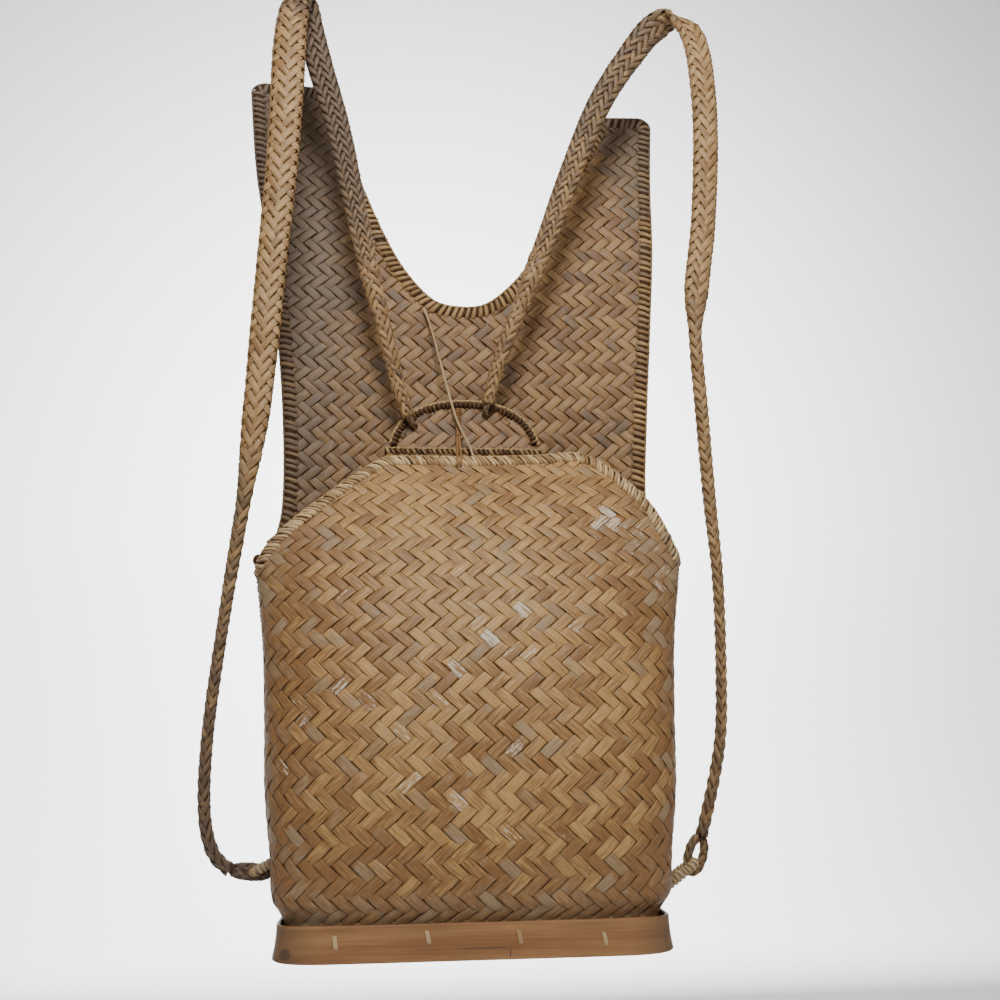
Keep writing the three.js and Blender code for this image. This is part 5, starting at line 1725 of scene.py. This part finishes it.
def band_stitch(pile, rng, x, z, lean, facing):
    """Two strands side by side on the band; facing is -1 in front and 1 behind."""
    depth = half_band_depth * band_bow(x)
    t = np.linspace(-1, 1, stitch_points)
    wide = np.tile([1.0, 0, 0], (stitch_points, 1))
    out = np.tile([0, float(facing), 0], (stitch_points, 1))
    for k in (-0.5, 0.5):
        proud = stitch_rise * (1 - t**4) - stitch_sunk
        long = stitch_half_length * rng.normal(1, 0.06)
        centre = np.stack([x + k * stitch_step + lean * t * facing, facing * (depth + proud),
                           z + long * t], axis=1)
        tube(pile, centre, wide, out, stitch_strand, stitch_sunk, 6, rng.random(), 0.3)


rng = np.random.default_rng(41)
stitch_pile = new_pile()
for x, z, lean in band_stitches:
    band_stitch(stitch_pile, rng, x, z, lean, -1)
    band_stitch(stitch_pile, rng, -x * behind_share, z, lean, 1)
stitches = make_mesh("band_stitches", stitch_pile)
finish_piece(stitches, pale_cane, "cane")

# %% [markdown]
# ## Eyelets, tie and lacing
# The straps end in cane eyelets at the foot of the side seams. Each is a bent core wound with pale
# cane. A wrapped tie holds the yoke down over both rims, a loose strand of raffia hangs beside it,
# and the two walls are laced together at the sides with crossed stitches. All are strands along a
# line again, so the whipping and the tube from above make them.

# %% Eyelets
eyelet_half, eyelet_spacing, eyelet_wrap = 0.0034, 0.0126, 0.0031


def make_eyelet(name, place, seed):
    """A bent core at a lower corner, wound with pale cane."""
    rng = np.random.default_rng(seed)
    root, tip = place["root"], place["tip"]
    way = unit(tip - root)
    half = np.array([0, eyelet_spacing / 2, 0])
    bend = tip - way * eyelet_spacing / 2
    turn = np.linspace(-np.pi / 2, np.pi / 2, 17)[:, None]
    arc = bend + np.sin(turn) * half + np.cos(turn) * way * eyelet_spacing / 2
    path = np.concatenate([[root - half], arc, [root + half]])
    track = free_track(path, np.cross(way, (0, 1, 0)))
    pile = new_pile()
    core_of(pile, track, eyelet_half - 0.0009, eyelet_half - 0.0009, every=4, tone=0.2, aged=1.0)
    whip(pile, rng, track, eyelet_half - 0.0007, eyelet_half - 0.0007, eyelet_wrap, lean=0.0008,
         strand=0.0028, aged_at=lambda p: 0.9 - np.linalg.norm(p - root, axis=1) / 0.03)
    piece = make_mesh(name + "_wrapped", pile)
    return finish_piece(piece, pale_cane, "eyelet_cane", name)


make_eyelet("eyelet_left", straps["left"], 51)
make_eyelet("eyelet_right", straps["right"], 52)

# %% The tie over both rims
tie_shift, tie_half_width, tie_half_thickness = -0.008, 0.0018, 0.0011
tie_out = tie_half_thickness + gap + lean_room / 2
arch_underside = rim_height + yoke_foot + yoke_rise - 2 * yoke_half_width - gap
facing_middle = facing_top - facing_half_width
rim_middle = rim_height - rim_half_width


def tie_point(depth_at, level, out, z):
    """A point of the tie, so far out of a sheet."""
    return (tie_shift, float(depth_at(np.array(tie_shift), level)) - out, z)


tie_points = [
    tie_point(yoke_depth, arch_underside, wall / 2 + tie_out, arch_underside - 0.001),
    tie_point(yoke_depth, facing_top, wall / 2 + tie_out + 0.001, facing_top + 0.012),
    tie_point(facing_depth, facing_middle, facing_half_depth + tie_out, facing_top + 0.001),
    tie_point(near_depth, facing_middle, rim_half_depth + tie_out, rim_height + 0.002),
    tie_point(near_depth, rim_middle, rim_half_depth + tie_out, rim_middle),
    tie_point(near_depth, rim_middle, rim_half_depth + tie_out + 0.001,
              rim_middle - rim_half_width - 0.002),
]
rng = np.random.default_rng(61)
tie_pile = new_pile()
tie_track = free_track(smooth_route(tie_points), (1.0, 0.0, 0.0))
tie_length = tie_track["at"][-1]
wrapped_share = 0.45
splay = 1 + 1.5 * np.clip(tie_track["at"] / tie_length - 0.55, 0, 0.3)[:, None]
for shift in (-0.5, 0.5):
    centre = tie_track["centre"] + shift * tie_half_width * splay * tie_track["off"]
    tube(tie_pile, centre[::4], tie_track["off"][::4], tie_track["face"][::4] * -1, tie_half_width * 0.52,
         tie_half_thickness * 0.8, 6, 0.8, 0.1)
whip(tie_pile, rng, tie_track, tie_half_width, tie_half_thickness, pitch=0.0017, lean=0.0008,
     strand=0.0016, thick=0.0005, stop=wrapped_share * tie_length)
print("the tie is", round(1000 * tie_length), "mm long")
tie = make_mesh("yoke_tie_wrapped", tie_pile)
finish_piece(tie, tie_cane, "binding", "yoke_tie")

# %% A loose strand of raffia
raffia_points = [
    (-0.036, 0.0462, 0.4835), (-0.031, 0.0445, 0.470), (-0.022, 0.036, 0.432), (-0.009, 0.021, 0.376),
    (0.001, 0.0155, 0.352), (0.0035, 0.0135, 0.343),
]
raffia_half_width, raffia_half_thickness = 0.0011, 0.0003
raffia_line, raffia_at = even_steps(smooth_route(raffia_points), 0.003)
raffia_way = unit(np.gradient(raffia_line, axis=0))
raffia_turn = 0.5 * np.sin(raffia_at * 40)
raffia_wide = unit(np.stack([np.cos(raffia_turn), np.sin(raffia_turn), 0 * raffia_at], axis=1))
raffia_wide = unit(raffia_wide - (raffia_wide * raffia_way).sum(axis=1)[:, None] * raffia_way)
raffia_pile = new_pile()
tube(raffia_pile, raffia_line, raffia_wide, unit(np.cross(raffia_wide, raffia_way)),
     raffia_half_width, raffia_half_thickness, 6, 0.3, 0.3)
raffia = make_mesh("raffia_strand", raffia_pile)
finish_piece(raffia, pale_cane, "cane")
print("the loose strand is", round(1000 * raffia_at[-1]), "mm long")

# %% Lacing down both side seams
lace_pitch, lace_reach, lace_half, lace_proud = 0.0068, 0.0036, 0.00055, 0.0011
lace_points, lace_foot, lace_over, lace_depth = 9, 0.024, 0.003, 0.0009
backing_half_width, backing_half_thickness = 0.0032, 0.0006


def lacing(pile, rng, side):
    """Crossed strands over a seam, with a flat strip behind them."""
    levels = np.arange(lace_foot, seam_height + lace_over, lace_pitch)
    t = np.linspace(-1, 1, lace_points)
    out = np.tile([float(side), 0, 0], (lace_points, 1))
    backing = []

    def seam_point(z, q):
        """A point beside the seam: q is negative on the near wall and positive on the far one."""
        chart, table = (near_chart, near_sections) if q < 0 else (far_chart, far_sections)
        across = side * (half_length(chart, table, z) - abs(q))
        return place_on(chart, np.array([across]), np.array([height_up(chart, z)]))[0]

    for low, high in zip(levels[:-1], levels[1:]):
        backing.append(seam_point(low, 0.0) - (side * backing_half_thickness, 0, 0))
        for first, last in ((low, high), (high, low)):
            z = first + (last - first) * (t + 1) / 2 + rng.normal(0, 0.0003)
            path = np.array([seam_point(h, s) for h, s in zip(z, t * lace_reach)])
            path[:, 0] += side * lace_proud * (1 - t**4)
            path[:, 1] += lace_depth * t
            way = unit(np.gradient(path, axis=0))
            wide = unit(np.cross(out, way))
            tube(pile, path, wide, unit(np.cross(way, wide)) * -1, lace_half, lace_half * 0.8, 5,
                 rng.random(), 0.3)
    backing = np.array(backing)
    wide, out = (np.tile(way, (len(backing), 1)) for way in ((0, 1.0, 0), (float(side), 0, 0)))
    tube(pile, backing, wide, out, backing_half_width, backing_half_thickness, 8, 0.1, 0.4)


lace_pile = new_pile()
rng = np.random.default_rng(71)
lacing(lace_pile, rng, -1)
lacing(lace_pile, rng, 1)
laces = make_mesh("seam_lacing", lace_pile)
finish_piece(laces, tie_cane, "binding")

# %% End of the scene
print("scene built")
